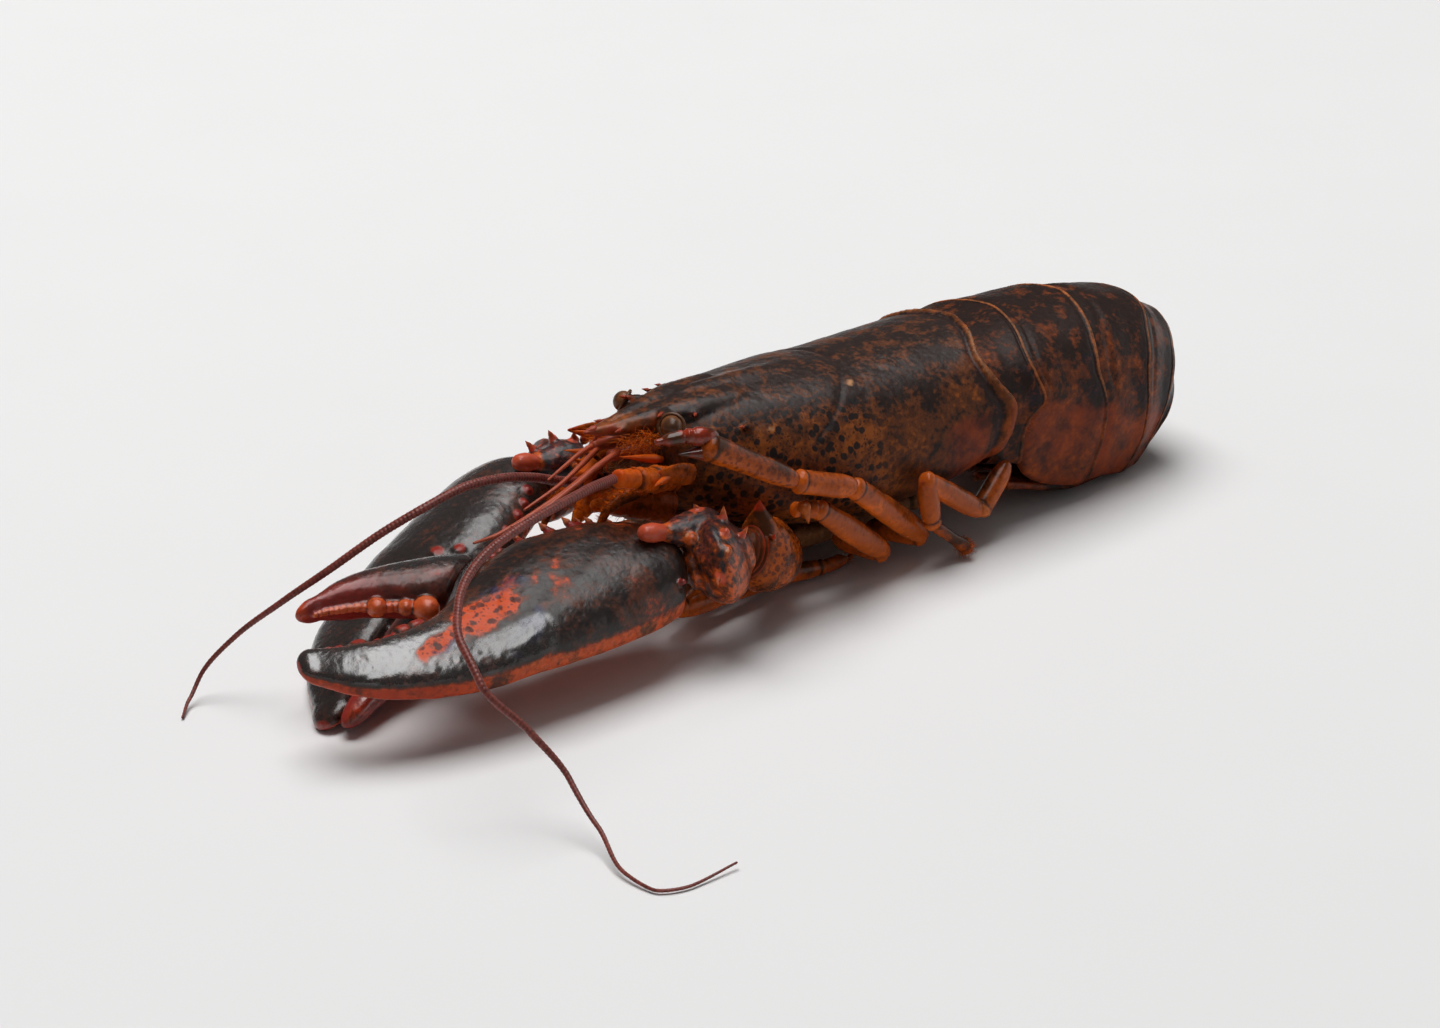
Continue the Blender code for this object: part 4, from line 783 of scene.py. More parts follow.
def shell_place(points):
    """Degrees round from the top, and millimetres ahead of the rear edge, for points on the shell."""
    x, y, z = points.T
    half, top, mid, bottom = np.moveaxis(CARAPACE(x), -1, 0)
    high = z >= mid
    s = np.where(high, clip01((z - mid) / (top - mid)) ** (1.0 / 0.94),
                 -clip01((mid - z) / (mid - bottom)) ** (1.0 / 0.75))
    wide = clip01(np.abs(y) / half)
    c = np.where(high, wide ** (1.0 / 0.86), wide ** (1.0 / 0.62))
    turn = 90.0 - np.degrees(np.arctan2(s, np.maximum(c, 1e-6)))
    return turn, REAR_EDGE(turn) - x


def margin_width(turn):
    return 1.5 + 1.9 * rise(turn, 36.0, 40.0)


def carapace_body():
    angle = turns(180, 0.5)
    turn = turn_of(angle)
    rear = REAR_EDGE(turn)
    u = np.concatenate([np.linspace(0.0, 0.9, 150, endpoint=False), np.linspace(0.9, 1.0, 56)])[:, None]
    x = SHELL_FRONT + (rear - SHELL_FRONT) * u
    y, z, half, top, bottom = section(x, angle, KEEL_HEIGHT * fall(x, -40.0, 25.0))
    scale = 1.0 - GROOVE_SINK * groove_depth(turn, x) / np.maximum(half, 1.0)
    centre = 0.5 * (top + bottom)
    y, z = y * scale, centre + (z - centre) * scale
    ahead = rear - x
    width = margin_width(turn)
    bead = np.sqrt(clip01(1.0 - ((ahead - 0.5 * width) / (0.5 * width)) ** 2))
    lift = MARGIN_LIFT * bead * (ahead < width) - MARGIN_SINK * hump(ahead, width + 0.75, 0.7)
    grow = 1.0 + lift * rise(np.sin(angle), -0.9, 0.3) / 24.0
    rings = np.stack([x, y * grow, BODY_MIDDLE + (z - BODY_MIDDLE) * grow], axis=-1)
    return lofted(rings, (SHELL_FRONT - 1.2, 0.0, 34.0), (SHELL_CORE_X, 0.0, BODY_MIDDLE))


def rostrum_body():
    angle = turns(48)
    x = np.linspace(-106.2, -68.0, 80)[:, None]
    half, top, bottom = np.moveaxis(ROSTRUM(x[:, 0]), -1, 0)[..., None]
    s = np.sin(angle)
    mid = lerp(bottom, top, 0.62)
    y = half * power(np.cos(angle), 0.8)
    z = mid + np.where(s > 0, top - mid, mid - bottom) * s
    z = z - (s > 0) * ROSTRUM_HOLLOW * hump(y, 0.0, 0.34 * half) * rise(x, -104.0, 8.0)
    rings = np.stack(np.broadcast_arrays(x, y, z), axis=-1)
    return lofted(rings, ROSTRUM_TIP, (-67.0, 0.0, 44.0))


def rostrum_spines():
    rows = []
    for side, _ in SIDES:
        for x, y, z, length in ((-96.6, 3.1, 44.6, 4.2), (-88.0, 6.4, 47.0, 3.6), (-80.5, 8.8, 45.8, 2.8)):
            rows.append(((x, side * y * 0.8, z), (x - length, side * (y + 0.9), z + 0.7), 1.0))
        rows.append(((-80.0, side * 12.6, 42.0), (-85.0, side * 14.0, 43.2), 1.3))
        rows.append(((-72.0, side * 14.6, 42.6), (-75.4, side * 15.4, 43.6), 0.9))
    return rows + [((-101.2, 0.0, 44.2), (-104.0, 0.0, 42.5), 0.85)]


def hollow_for_eye(points, side):
    """Points inside the eye's ball, with a little room, pushed inward to its surface."""
    away = points - mirrored(EYE_CENTRE, side)
    room = EYE_RADIUS + EYE_ROOM
    gap = np.linalg.norm(away, axis=1)
    inward = unit(np.array([0.55, -side * 0.8, -0.25]))
    along = away @ inward
    reach = np.sqrt(np.maximum(room ** 2 - np.maximum(gap ** 2 - along ** 2, 0.0), 0.0))
    return points + np.where(gap < room, reach - along, 0.0)[:, None] * inward


def carapace():
    spines = rostrum_spines()
    skin = melted(merged([carapace_body(), rostrum_body()] + [cone(*row) for row in spines]), 0.56, 2)
    for side, _ in SIDES:
        skin.points = hollow_for_eye(skin.points, side)
    turn, ahead = shell_place(skin.points)
    x, y, z = skin.points.T
    front = fall(x, -34.0, 10.0)
    worn = hump(x, -38.0, 5.0) * hump(turn, 42.0, 16.0) + hump(x, -30.0, 6.0) * hump(turn, 22.0, 14.0)
    worn = worn * (y < 0)
    skin = roughened(skin, (0.05, 2.6, 1), (0.16 * worn, 1.5, 2), (0.05 * front, 1.3, 3))
    on_rostrum = fall(x, -82.0, 8.0)
    low_rear = rise(turn, 62.0, 18.0) * rise(x, -32.0, 16.0)
    width = margin_width(turn)
    margin = fall(ahead, width + 0.3, 0.6) * (x > -12.0)
    band = hump(ahead, width + 1.9, 2.1) * rise(turn, 42.0, 12.0) * fall(turn, 112.0, 12.0)
    band = (band + 0.8 * hump(ahead, width + 1.0, 0.8) * fall(turn, 60.0, 20.0)) * (x > -14.0)
    # cleft paints the groove that runs over the shell darker: painted shade in the crease, with a little blue
    # added
    cleft = groove_depth(turn, x)
    orange = 0.18 + 0.44 * rise(turn + 9.0 * noise(skin.points, 9.0, 5), 28.0, 40.0)
    orange += 0.10 * front * rise(turn, 35.0, 20.0)
    orange -= 0.10 * fall(x, -10.0, 8.0) * rise(x, -34.0, 8.0) * hump(turn, 50.0, 14.0)
    orange = lerp(orange, 0.36, low_rear) * (1.0 - 0.95 * clip01(band))
    orange = lerp(lerp(orange, 0.66, margin), 0.75, on_rostrum * fall(z, 47.2, 1.2)) * (1.0 - 0.8 * cleft)
    red = 0.95 * near(skin.points, [row[1] for row in spines] + [ROSTRUM_TIP], 2.4)
    red += 0.50 * low_rear * (1.0 - clip01(band)) + 0.25 * on_rostrum
    pale = margin * rise(turn, 8.0, 10.0) * lerp(0.42, 0.16, rise(turn, 48.0, 14.0))
    for amount, places, reach in SHELL_SCARS:
        pale += amount * near(skin.points, places, reach)
    spots = (0.95 * front + 0.5 * (1.0 - front) * fall(x, -6.0, 10.0)) * rise(turn, 20.0, 16.0)
    spots = spots * (1.0 - 0.75 * low_rear) * (1.0 - margin) * (1.0 - 0.8 * on_rostrum)
    skin.paint((orange, red, pale),
               (spots, 0.15 * clip01(band) + 0.1 * cleft, lerp(0.48, 0.08, rise(turn, 18.0, 30.0))))
    tips = [cone(lerp(np.array(foot), np.array(end), 0.65), end, r * 0.46) for foot, end, r in spines]
    tips = merged(tips + [cone((-103.6, 0.0, 45.4), ROSTRUM_TIP, 0.9)])
    piece(merged([skin, tips.paint((0.7, 0.95, 0.0), (0.0, 0.0, 0.4))]), SHELL, "carapace")


# Underside

def block(stations, rows, ring):
    """Boxy tube along X from (x, half width, top, bottom) rows."""
    shape = curve(stations)
    x = np.linspace(stations[0][0], stations[-1][0], rows)
    half, top, bottom = np.moveaxis(shape(x), -1, 0)[..., None]
    angle = turns(ring)
    y = half * power(np.cos(angle), 0.5)
    z = 0.5 * (top + bottom) + 0.5 * (top - bottom) * power(np.sin(angle), 0.65)
    return lofted(np.stack(np.broadcast_arrays(x[:, None], y, z), axis=-1))


def underside():
    thorax = block(((-87.0, 3.6, 22.8, 13.0), (-78.0, 7.0, 18.0, 6.4), (-68.0, 9.0, 14.2, 4.0),
                    (-56.0, 9.0, 10.8, 3.2), (-44.0, 9.0, 8.6, 3.0), (-14.0, 9.0, 8.6, 3.4),
                    (-6.0, 7.0, 8.2, 4.2)), 180, 72)
    x, y, _ = thorax.points.T
    seam = sum(hump(x + 0.12 * np.abs(y), place, 0.7) for place in (-76.0, -64.0, -52.0, -40.0, -28.0, -17.0))
    thorax = raised(thorax, -0.5 * seam - 0.35 * hump(y, 0.0, 0.8) + 0.08 * noise(thorax.points, 2.0, 7))
    seam = clip01(seam)
    piece(thorax.paint((0.6 - 0.4 * seam, 0.1, 0.25 - 0.2 * seam)), BELLY, "thorax")
    mouth = block(((-96.4, 2.6, 34.6, 23.0), (-93.0, 4.2, 35.8, 19.6), (-88.9, 4.6, 36.0, 17.4)), 60, 60)
    mouth = raised(mouth, 0.25 * noise(mouth.points, 1.6, 8) - 0.5 * hump(mouth.points[:, 1], 0.0, 0.6))
    mouth.paint((0.45, 0.1, 0.1), (0.3, 0.0, 0.4))
    rng = np.random.default_rng(11)
    count = 260
    roots = np.column_stack([rng.uniform(-96.5, -90.0, count), rng.uniform(-4.5, 4.5, count),
                             rng.uniform(22.0, 36.0, count)])
    ways = np.column_stack([-rng.uniform(0.5, 1.0, count), rng.normal(0.0, 0.5, count),
                            rng.normal(0.1, 0.5, count)])
    bristles = hairs(roots, ways, rng.uniform(2.0, 4.5, count), 0.09, tone=(0.8, 0.1, 0.3))
    piece(merged([mouth, bristles]), BELLY, "mouth")


# Tail

def tail_point(s, angle, proud):
    dx, dz, vx, vz, half = np.moveaxis(TAIL(s), -1, 0)
    up = np.stack([dx - vx, dz - vz], axis=-1)
    height = np.linalg.norm(up, axis=-1)
    up = up / height[..., None]
    mid = 0.52 * height
    c, q = np.cos(angle), np.sin(angle)
    way = np.arcsin(clip01(-q)) / (np.pi / 2.0)
    across, down = np.moveaxis(FLANK(way), -1, 0)
    high = q >= 0.0
    y = (half + proud) * np.where(high, power(c, 0.88), np.sign(c) * across)
    h = np.where(high, mid + (height + proud - mid) * np.abs(q) ** 0.95, mid * down)
    hang = PLATE_HANG * hump(s, 1.25, 0.6) * hump(way, 0.56, 0.26)
    return np.stack([vx + up[..., 0] * h, y, vz + up[..., 1] * h - hang], axis=-1)


def edge_place(number, turn):
    if number in (0, 6):
        return np.full_like(turn, float(number))
    return number + WAVE(turn)[..., number - 1]


def tail_surface(number, u, angle, proud):
    turn = turn_of(angle)
    start, end = edge_place(number, turn), edge_place(number + 1, turn)
    if number > 0:
        return tail_point(lerp(start, end, u), angle, proud)
    front = tail_point(np.zeros_like(start), angle, proud)
    front[..., 0] = REAR_EDGE(turn) - 3.0
    return lerp(front, tail_point(end, angle, proud), u[..., None])


def tail_core(s):
    dx, dz, vx, vz, _ = TAIL(float(s))
    return np.array([0.5 * (dx + vx), 0.0, 0.5 * (dz + vz)])


def tail_run(s):
    return unit(tail_core(min(s + 0.2, 6.0)) - tail_core(max(s - 0.2, 0.0)))


def ring_pigment(shape, number, turn, left):
    """Dark top, red brown flanks, blotches ahead of the pale rim; left is the way to the rear edge."""
    wave = noise(shape.points, 7.0, 30 + number)
    low = rise(turn + 4.0 * wave, 78.0, 22.0)
    rim = fall(left, 1.05, 0.3)
    blotch = hump(turn, 88.0, 9.0) * hump(left, 3.4, 2.6) + 0.8 * hump(turn, 62.0, 8.0) * hump(left, 2.4, 1.6)
    orange = lerp(0.12 + 0.36 * rise(turn + 8.0 * wave, 26.0, 50.0), 0.56, low)
    orange = orange - 0.9 * blotch - 0.55 * hump(left, 1.8, 0.9) * (1.0 - low)
    # On the first ring the lower flanks are darkened: partly its own dark brown, partly painted shade where
    # it lies between the carapace's rim and the next ring.
    if number == 0:
        orange = orange * (1.0 - 0.45 * rise(turn, 40.0, 25.0))
        low = 0.0 * low
    red = 0.55 * low * (1.0 - rim) * (1.0 - 0.8 * clip01(blotch)) + 0.15 * wave * low
    spots = 0.35 * (1.0 - low) * (1.0 - rim) + 0.3 * blotch
    return shape.paint((lerp(orange, 0.62, rim), red, 0.48 * rim * fall(turn, 104.0, 20.0)),
                       (spots, 0.2 * blotch, 0.08 if number < 3 else 0.5))


def tail_ring(number):
    """One tail ring; its rear edge is a thin rim that covers the next."""
    ring, rows = 156, 72
    angle = np.broadcast_to(turns(ring, 0.5), (rows, ring)).copy()
    turn = turn_of(angle)
    u = np.concatenate([np.linspace(0.0, 0.86, 44, endpoint=False), np.linspace(0.86, 1.0, 28)])
    u = np.broadcast_to(u[:, None], (rows, ring)).copy()
    left = (1.0 - u) * np.linalg.norm(tail_surface(number, np.ones_like(u), angle, 0.0 * u)
                                      - tail_surface(number, np.zeros_like(u), angle, 0.0 * u), axis=-1)
    proud = RIM_PROUD * (rise(u, 0.55, 0.4) - 0.5 * fall(u, 0.2, 0.2))
    proud = proud - 0.22 * hump(left, 1.25, 0.4) + 0.12 * (left < 0.9) - 0.5 * fall(left, 0.3, 0.3)
    proud = proud - 0.35 * hump(u, 0.20, 0.05) * fall(turn, 100.0, 20.0) * (number > 0)
    p = tail_surface(number, u, angle, proud)
    for row in (0, rows - 1):
        inward = tail_surface(number, 0.5 + 0.0 * u[row], angle[row], 0.0 * u[row]) - p[row]
        gap = RING_GAP * (1.0 + 2.4 * rise(turn[row], 100.0, 30.0))
        p[row] += unit(inward) * gap[:, None]
    front = tail_core(number) + tail_run(number) * CORE_GAP
    if number == 0:
        front = np.array([SHELL_CORE_X - 3.0, 0.0, BODY_MIDDLE])
    shape = lofted(p, front, tail_core(number + 1) - tail_run(number + 1) * CORE_GAP)
    turn, left = (np.append(grid.ravel(), [grid[0].mean(), grid[-1].mean()]) for grid in (turn, left))
    return ring_pigment(roughened(shape, (0.05, 2.4, 20 + number)), number, turn, left)


def fan_height(x):
    return 0.2 + 9.0 * fall(x, 31.0, 40.0) + 2.2 * rise(x, 46.0, 12.0)


def fan_blade(near_side, far_side, thick, reach):
    """A blade of the tail fan, ribbed along and rounded at its end."""
    u = np.linspace(0.0, 1.0, 90)[:, None]
    angle = turns(64)
    x = lerp(FAN_HINGE, reach, u)
    swell = np.sin(np.pi * clip01(0.16 + 0.78 * u)) ** 0.45
    y0, y1 = lerp(near_side[0], near_side[1], u ** 0.6), lerp(far_side[0], far_side[1], u ** 0.7)
    half_thick = 0.5 * thick * (0.6 + 0.4 * np.sin(np.pi * clip01(0.2 + 0.7 * u)))
    across = power(np.cos(angle), 0.7)
    y = 0.5 * (y0 + y1) + 0.5 * np.abs(y1 - y0) * swell * across
    rib = 0.18 * hump(across, 0.0, 0.12) - 0.08 * hump(np.abs(across), 0.3, 0.08)
    z = fan_height(x) + 0.5 * thick + (half_thick + rib) * power(np.sin(angle), 0.8)
    shape = lofted(np.stack(np.broadcast_arrays(x, y, z), axis=-1))
    end = fall(shape.points[:, 0], reach + 4.0, 4.0)
    return shape.paint((0.40 + 0.3 * end, 0.40 + 0.2 * noise(shape.points, 6.0, 9), 0.0), (0.3, 0.0, 0.2))


def skirt():
    """Bristles where the first tail ring leaves the carapace, low on both sides."""
    rng = np.random.default_rng(5)
    count = 150
    drop = rng.uniform(0.0, 1.0, count)
    roots = np.column_stack([4.5 + 1.6 * drop + rng.normal(0, 0.5, count), -21.8 + 3.4 * drop ** 2,
                             27.0 - 10.0 * drop])
    roots = np.vstack([roots, roots * (1.0, -1.0, 1.0)])
    ways = rng.normal(0.0, 0.35, roots.shape) + np.array([0.9, 0.0, -0.6])
    ways[:, 1] += np.sign(roots[:, 1]) * 0.4
    return hairs(roots, ways, rng.uniform(1.2, 2.8, len(roots)), 0.08, tone=(0.8, 0.0, 0.45))


def fringe(rng, near_side, far_side, thick, reach):
    """Bristles along the end of a fan blade."""
    low, high = sorted((near_side[1], far_side[1]))
    count = int(abs(high - low) * 12)
    y = rng.uniform(low + 0.4, high - 0.4, count)
    x = reach + 1.2 + 2.4 * ((y - 0.5 * (low + high)) / (0.5 * (high - low))) ** 2
    roots = np.column_stack([x, y, fan_height(x) + 0.5 * thick + rng.normal(0, 0.1, count)])
    ways = np.column_stack([-np.ones(count), rng.normal(0, 0.12, count), rng.normal(0.05, 0.08, count)])
    return hairs(roots, ways, rng.uniform(2.0, 3.2, count), 0.07, tone=(0.6, 0.1, 0.4))


def tail():
    for number in range(6):
        parts = [tail_ring(number)]
        if number == 0:
            parts.append(skirt())
        piece(merged(parts), TAIL_SKIN, "tail_%d" % (number + 1))
    blades = [("telson", (-4.6, -7.0), (4.6, 7.0), 2.2, 3.0)]
    for side, word in SIDES:
        blades.append(("uropod_inner_" + word, (side * 5.1, side * 7.7), (side * 8.4, side * 13.2), 2.0, 1.0))
        blades.append(("uropod_outer_" + word, (side * 9.1, side * 15.2), (side * 12.0, side * 19.6),
                       2.6, 3.5))
    rng = np.random.default_rng(6)
    for name, *sizes in blades:
        piece(merged([fan_blade(*sizes), fringe(rng, *sizes)]), TAIL_SKIN, name)


# Claws

class ClawFrame:
    """A claw's own directions: along, inward, and up from its broad face."""

    def __init__(self, wrist, tip, roll, inward):
        self.wrist = np.array(wrist)
        self.along = unit(np.array(tip) - self.wrist)
        flat = unit(np.cross((0.0, 0.0, 1.0), self.along))
        flat = -flat if flat[1] * inward < 0.0 else flat
        up = unit(np.cross(self.along, flat))
        up = -up if up[2] < 0.0 else up
        angle = math.radians(roll)
        self.inner = flat * math.cos(angle) + up * math.sin(angle)
        self.up = unit(np.cross(self.along, self.inner))
        self.up = -self.up if self.up[2] < 0.0 else self.up

    def at(self, a, b, c):
        a, b, c = (np.asarray(value, float)[..., None] for value in (a, b, c))
        return self.wrist + self.along * a + self.inner * b + self.up * c

    def local(self, points):
        away = points - self.wrist
        return away @ self.along, away @ self.inner, away @ self.up


LEFT = ClawFrame(LEFT_WRIST, LEFT_TIP, LEFT_ROLL, 1.0)
RIGHT = ClawFrame(RIGHT_WRIST, RIGHT_TIP, RIGHT_ROLL, -1.0)


# Spines and round bumps on the wrist joints
LEFT_SPIKES = (
    ((-92.4, -23.4, 30.6), (-94.0, -23.2, 33.2), 1.3),
    ((-90.2, -28.8, 30.0), (-89.9, -28.6, 33.6), 1.3),
    ((-97.4, -36.4, 22.4), (-99.4, -38.8, 21.2), 1.2),
    ((-88.4, -33.0, 27.4), (-87.6, -34.2, 30.0), 1.0),
)
LEFT_DOTS = (((-98.2, -28.0, 27.8), 1.5), ((-95.2, -36.2, 26.8), 1.7), ((-93.0, -33.4, 30.0), 0.9))
RIGHT_SPIKES = (
    ((-100.4, 27.6, 29.8), (-102.4, 28.2, 32.6), 1.2),
    ((-95.2, 27.4, 31.2), (-96.4, 27.6, 33.8), 1.2),
    ((-90.6, 25.6, 30.4), (-91.8, 24.2, 33.2), 1.2),
    ((-87.4, 26.2, 29.6), (-88.0, 24.6, 32.6), 1.2),
)
RIGHT_DOTS = (((-90.6, 18.6, 28.2), 2.6), ((-94.0, 19.4, 26.6), 1.7))


def blade_share(s):
    """0 on the palm of a claw, 1 on its fixed finger."""
    return rise(s, 0.44, 0.16)


def claw_level(s, t, high, edge_drop):
    """How far the middle of a claw's section hangs below its broad plane."""
    return -edge_drop * high / 9.0 * lerp((1.0 - t) ** 1.5, 1.9 * (1.0 - t), blade_share(s))


def claw_skin(frame_, rows, tip, ring, steps, edge_drop, base_lift=0.0):
    """Loft of claw sections; the outer edge hangs a little and is the sharper one."""
    keys = rows[-1][0] * np.linspace(0.0, 1.0, steps)
    a0, b0, a1, b1, high, low = np.moveaxis(curve(rows)(keys), -1, 0)[..., None]
    keys = keys[:, None]
    angle = turns(ring)
    s = np.sin(angle)
    t = 0.5 + 0.5 * power(np.cos(angle), 0.8)
    blade = blade_share(keys) * (edge_drop > 0.0)
    over = lerp(0.64, 0.46, blade) + 0.21 * smooth(1.6 * t)
    under = lerp(0.80, 1.15, blade * (1.0 - t))
    h = np.where(s >= 0.0, high * power(s, over), low * lerp(1.0, 0.75, blade) * power(s, under))
    height = claw_level(keys, t, high, edge_drop) + base_lift + h * (1.0 + 0.10 * np.sin(np.pi * t))
    rings = frame_.at(lerp(a0, a1, t), lerp(b0, b1, t), height)
    end = frame_.at(tip[0], tip[1], tip[2] + base_lift - 0.15 * edge_drop)
    middle = rings[-1].mean(axis=0)
    dome = [middle + (rings[-1] - middle) * np.cos(bend) + (end - middle) * np.sin(bend)
            for bend in np.radians((12.0, 24.0, 36.0, 48.0, 60.0, 71.0, 81.0))]
    return lofted(np.concatenate([rings, dome]), None, end)


def claw_place(points, frame_, rows, edge_drop):
    """Along, share of the way in from the outer edge, and height as a share of the half thickness."""
    a, b, c = frame_.local(points)
    keys = np.linspace(0.0, rows[-1][0], 200)
    table = curve(rows)(keys)
    lean = 0.0
    for _ in range(2):
        s = np.interp(a - lean, 0.5 * (table[:, 0] + table[:, 2]), keys)
        a0, b0, a1, b1, high, low = np.moveaxis(curve(rows)(s), -1, 0)
        t = clip01((b - b0) / (b1 - b0))
        lean = (a1 - a0) * (t - 0.5)
    level = claw_level(s, t, high, edge_drop)
    return a, b, t, (c - level) / np.where(c > level, high, low)


def capsule(a, b, start, end, radius, soft=0.45):
    """1 on a line between two places of a claw's face, falling to 0 at its edge."""
    start, end = np.array(start), np.array(end)
    way = end - start
    p = np.column_stack([a, b]) - start
    t = clip01(p @ way / (way @ way))
    gap = np.linalg.norm(p - t[:, None] * way, axis=1)
    return smooth((radius - gap) / (soft * radius) + 0.5)


def spine_tips(spines, start, thin, tone):
    """Ends of spines, as shapes of their own so that they keep their points."""
    rows = [(lerp(np.array(foot), np.array(end), start), end, radius * thin) for foot, end, radius in spines]
    return merged([cone(*row) for row in rows]).paint(tone)


def crusher_pigment(skin, upper, spines, balls, knobs):
    """Colours of the crusher; upper is 1 on its upper face."""
    a, b, t, side = claw_place(skin.points, LEFT, CRUSHER_PALM, CRUSHER_DROP)
    wave, fine = noise(skin.points, 6.0, 43), noise(skin.points, 2.0, 44)
    ragged = 0.9 * wave + 0.9 * fine
    patch = np.maximum(capsule(a, b, (41.5, -3.4), (50.0, -5.4), 3.9 + ragged, 0.7),
                       capsule(a, b, (49.0, -5.0), (63.0, -10.4), 1.9 + 0.6 * ragged, 0.9))
    flecks = capsule(a, b, (28.0, 0.5), (38.0, -1.5), 4.6 + 1.5 * ragged, 1.3)
    patch = upper * np.maximum(patch, 0.62 * smooth(fine + 0.4) * flecks)
    border = np.where(t < 0.5, np.interp(a, *np.transpose(CRUSHER_BORDER)), -0.10)
    lower = smooth((border - side + 0.03 * ragged) / 0.22 + 0.5)
    rim = rise(a + 0.4 * fine, 86.6, 0.6)
    heel = fall(a, 36.0, 24.0) * upper
    bumps = np.maximum(near(skin.points, [lerp(row[0], row[1], 0.7) for row in spines], 3.2),
                       near(skin.points, [row[0] for row in balls], 2.3))
    bumps = rise(np.maximum(bumps, near(skin.points, [row[0] for row in knobs], 1.5)), 0.32, 0.35)
    dark_rows = lower * rise(noise(skin.points, 5.0, 46), 0.60, 0.2)
    orange = 0.10 + 0.34 * heel * smooth(0.7 + wave) + 0.05 * wave + 0.12 * rise(t, 0.55, 0.3) * upper
    orange += 0.12 * hump(t, 0.9, 0.1) * upper * fall(a, 44.0, 8.0)
    orange = lerp(lerp(orange, 1.25, patch), 0.86 + 0.10 * wave, lower)
    orange = np.maximum.reduce([orange, 0.55 * rim, 0.9 * bumps])
    red = np.maximum(lower * (0.12 + 0.40 * rise(a, 40.0, 26.0)), 0.85 * np.maximum(rim, bumps))
    blue = np.maximum(capsule(a, b, (37.0, -8.0), (42.0, -13.0), 2.6 + ragged),
                      capsule(a, b, (36.0, 1.4), (43.0, 0.6), 2.0 + ragged)) * (1.0 - 0.7 * patch)
    blue = upper * np.maximum(blue, 0.9 * capsule(a, b, (55.0, -9.4), (60.0, -10.6), 1.2 + 0.5 * ragged))
    face = upper * rise(a, 50.0, 8.0) * (1.0 - lower) * (1.0 - patch) * rise(side, 0.5, 0.25)
    glint = upper * capsule(a, b, (36.0, -11.0), (50.0, -13.0), 3.4)
    wet = np.maximum(0.16 + 0.84 * face, 0.75 * glint) * (1.0 - patch) * (1.0 - 0.8 * lower)
    spots = 0.45 * heel + 0.85 * patch + 0.25 * lower * smooth(0.2 + wave)
    pale = 0.34 * lower * fall(a, 60.0, 20.0)
    skin.paint((orange * (1.0 - 0.3 * dark_rows), red * (1.0 - 0.5 * dark_rows), pale), (spots, blue, wet))


def left_claw():
    spines = [(LEFT.at(a - 1.2, b - 1.8, 3.0), LEFT.at(a + 1.2, b + 1.5, 5.2), radius)
              for a, b, radius in CRUSHER_SPINES]
    balls = [(LEFT.at(a, b + 0.6, 0.9), radius, 26, 16, (1.5, 1.0, 0.9)) for a, b, radius in CRUSHER_BALLS]
    knobs = [(LEFT.at(a, b, 3.6), radius) for a, b, radius in CRUSHER_KNOBS]
    body = merged([claw_skin(LEFT, CRUSHER_PALM, CRUSHER_PALM_TIP, 120, 220, CRUSHER_DROP)]
                  + [cone(*row) for row in spines] + [ball(*row) for row in balls + knobs])
    skin = melted(body, 0.46, 2)
    a, _, t, side = claw_place(skin.points, LEFT, CRUSHER_PALM, CRUSHER_DROP)
    upper = rise(side, -0.05, 0.3)
    pebble = upper * rise(a, 30.0, 12.0) * fall(a, 84.0, 8.0) * fall(t, 0.7, 0.3)
    skin = roughened(skin, (0.09, 3.4, 41), (0.07 * pebble, 1.1, 42), (0.08 * pebble, 2.6, 45))
    crusher_pigment(skin, upper, spines, balls, knobs)
    piece(merged([skin, spine_tips(spines, 0.6, 0.5, (0.9, 0.6, 0.5))]), CLAW, "claw_left")
    finger("left", LEFT, CRUSHER_FINGER, CRUSHER_FINGER_TIP, -0.2, CRUSHER_TEETH)


def finger(word, frame_, rows, tip, lift, teeth):
    """The claw's moving finger, with a row of round teeth along its inner edge."""
    left = word == "left"
    balls = [(frame_.at(a, b, 0.3), radius) for a, b, radius in teeth]
    body = merged([claw_skin(frame_, rows, tip, 90, 150, 0.0, lift)] + [ball(*row) for row in balls])
    skin = roughened(melted(body, 0.33, 1), (0.06, 2.6, 51), (0.03, 1.1, 52))
    a, _, t, side = claw_place(skin.points - frame_.up * lift, frame_, rows, 0.0)
    wave = noise(skin.points, 5.0, 53)
    tipness = rise(a + 3.0 * wave, 54.0, 24.0)
    inner = rise(t, 0.45, 0.3)
    lower = fall(side, 0.1, 0.4)
    end = rise(a, rows[-1][1] + 0.6, 3.0) * (1.0 if left else 0.3)
    gap = np.min([np.linalg.norm(skin.points - centre, axis=1) - radius for centre, radius in balls], axis=0)
    tooth = fall(gap, 0.26, 0.22)
    cream = fall(gap, 0.10, 0.14) * left
    orange = lerp(0.18 + 0.22 * inner + 0.22 * tipness + 0.6 * end + 0.06 * wave, 1.3, cream)
    red = 0.24 + 0.34 * inner * (0.5 + 0.5 * tipness) + 0.36 * tipness + 0.25 * lower - 0.45 * end
    red = np.maximum(lerp(red, 0.0, cream), 0.75 * tooth * (not left))
    skin.paint((orange, red, 0.40 * cream),
               (0.15 * (1.0 - tooth), 0.0, 0.25 + 0.45 * (1.0 - inner) * (1.0 - lower)))
    piece(skin, CLAW, "finger_" + word)


def edge_teeth(rows, count, start, pitch):
    """Places along the inner edge of a finger: along, inward and number."""
    edge = curve([(row[3], row[4]) for row in rows])
    return [(start + pitch * k, float(edge(start + pitch * k)), k) for k in range(count)]


